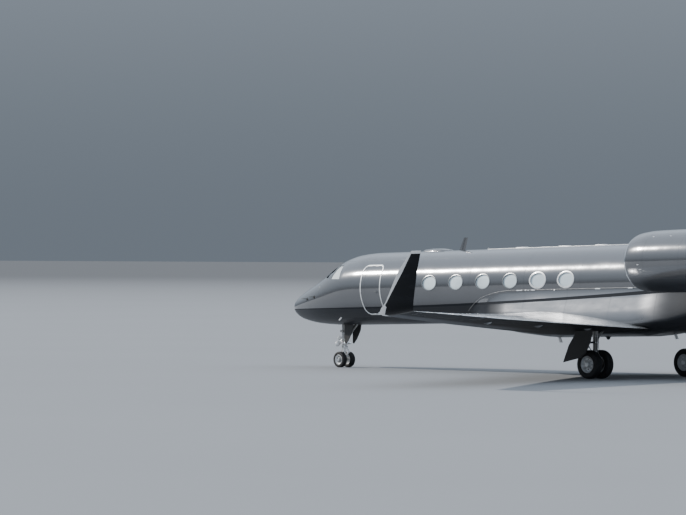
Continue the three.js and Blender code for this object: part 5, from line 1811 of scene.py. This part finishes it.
class JET_OT_cabin(bpy.types.Operator):
    """Finishes what shows inside: the floor, bulkhead and panel"""

    bl_idname = "jet.cabin"
    bl_label = "Cabin"

    def execute(self, context):
        dressed("cabin_floor", "liner")
        dressed("cockpit_bulkhead", "liner")
        dressed("instrument_panel", "panel")
        return {"FINISHED"}


class JET_OT_stage(bpy.types.Operator):
    """Makes the floor, the light and the camera"""

    bl_idname = "jet.stage"
    bl_label = "Stage"

    def execute(self, context):
        stage = context.scene.jet_stage
        clear_selection()
        bpy.ops.mesh.primitive_circle_add(vertices=96, radius=stage.floor_radius, fill_type="NGON")
        floor = added("floor")
        floor.data.materials.append(make_floor(context.scene.jet_colours.floor))

        sun = bpy.data.lights.new("key", "SUN")
        sun.energy = stage.key_strength
        sun.angle = SUN_WIDTH
        sun.color = (1.0, 0.96, 0.9)
        key = bpy.data.objects.new("key", sun)
        key.rotation_euler = SUN_FROM.to_track_quat("Z", "Y").to_euler()
        context.scene.collection.objects.link(key)

        world = bpy.data.worlds.new("studio")
        world.use_nodes = True
        tree = world.node_tree
        up = tree.nodes.new("ShaderNodeSeparateXYZ")
        tree.links.new(tree.nodes.new("ShaderNodeTexCoord").outputs["Generated"], up.inputs[0])
        height = up.outputs["Z"]
        low = mixed(tree, ramp(tree, height, 0.0, 0.22), (0.19, 0.225, 0.27, 1), (0.60, 0.69, 0.80, 1))
        sky = mixed(tree, ramp(tree, height, 0.2, 0.55), low, (1.15, 1.3, 1.5, 1))
        feed(tree, sky, tree.nodes["Background"].inputs["Color"])
        tree.nodes["Background"].inputs["Strength"].default_value = 0.8
        context.scene.world = world

        lens = bpy.data.cameras.new("camera")
        lens.lens = stage.focal_length
        lens.sensor_width = SENSOR_WIDTH
        lens.clip_end = 2 * stage.floor_radius
        camera = bpy.data.objects.new("camera", lens)
        turn = Matrix.Rotation(CAMERA["yaw"], 4, "Z") @ Matrix.Rotation(math.pi / 2 + CAMERA["pitch"], 4, "X")
        roll = Matrix.Rotation(CAMERA["roll"], 4, "Z")
        camera.matrix_world = Matrix.Translation(CAMERA["place"]) @ turn @ roll
        context.scene.collection.objects.link(camera)
        context.scene.camera = camera
        return {"FINISHED"}


class JET_PT_panel(bpy.types.Panel):
    """The jet's colours, sizes and operators"""

    bl_label = "Business jet"
    bl_idname = "JET_PT_panel"
    bl_space_type = "VIEW_3D"
    bl_region_type = "UI"
    bl_category = "Jet"

    def draw(self, context):
        layout = self.layout
        for group in (context.scene.jet_colours, context.scene.jet_sizes, context.scene.jet_stage):
            box = layout.box()
            for key in group.__annotations__:
                box.prop(group, key)
        for operator in OPERATORS:
            layout.operator(operator.bl_idname)


OPERATORS = (
    JET_OT_finishes,
    JET_OT_fuselage,
    JET_OT_window_rings,
    JET_OT_door_trim,
    JET_OT_wings,
    JET_OT_tail,
    JET_OT_nacelles,
    JET_OT_latches,
    JET_OT_fans,
    JET_OT_engine_cores,
    JET_OT_tyres,
    JET_OT_main_wheels,
    JET_OT_nose_wheels,
    JET_OT_brakes,
    JET_OT_gear,
    JET_OT_main_leg_details,
    JET_OT_nose_leg_details,
    JET_OT_landing_lights,
    JET_OT_probes,
    JET_OT_lights,
    JET_OT_skin_trim,
    JET_OT_static_wicks,
    JET_OT_crew_seats,
    JET_OT_cockpit,
    JET_OT_cabin,
    JET_OT_stage,
)
CLASSES = (JetColours, JetSizes, JetStage, *OPERATORS, JET_PT_panel)


def register():
    """Adds the classes, and the groups of values to the scene."""
    for one in CLASSES:
        bpy.utils.register_class(one)
    bpy.types.Scene.jet_colours = bpy.props.PointerProperty(type=JetColours)
    bpy.types.Scene.jet_sizes = bpy.props.PointerProperty(type=JetSizes)
    bpy.types.Scene.jet_stage = bpy.props.PointerProperty(type=JetStage)


def unregister():
    """Takes them away again."""
    del bpy.types.Scene.jet_stage, bpy.types.Scene.jet_sizes, bpy.types.Scene.jet_colours
    for one in reversed(CLASSES):
        bpy.utils.unregister_class(one)


def main():
    """Builds everything in order."""
    register()
    for operator in OPERATORS:
        group, name = operator.bl_idname.split(".")
        getattr(getattr(bpy.ops, group), name)()


if __name__ == "__main__":
    main()
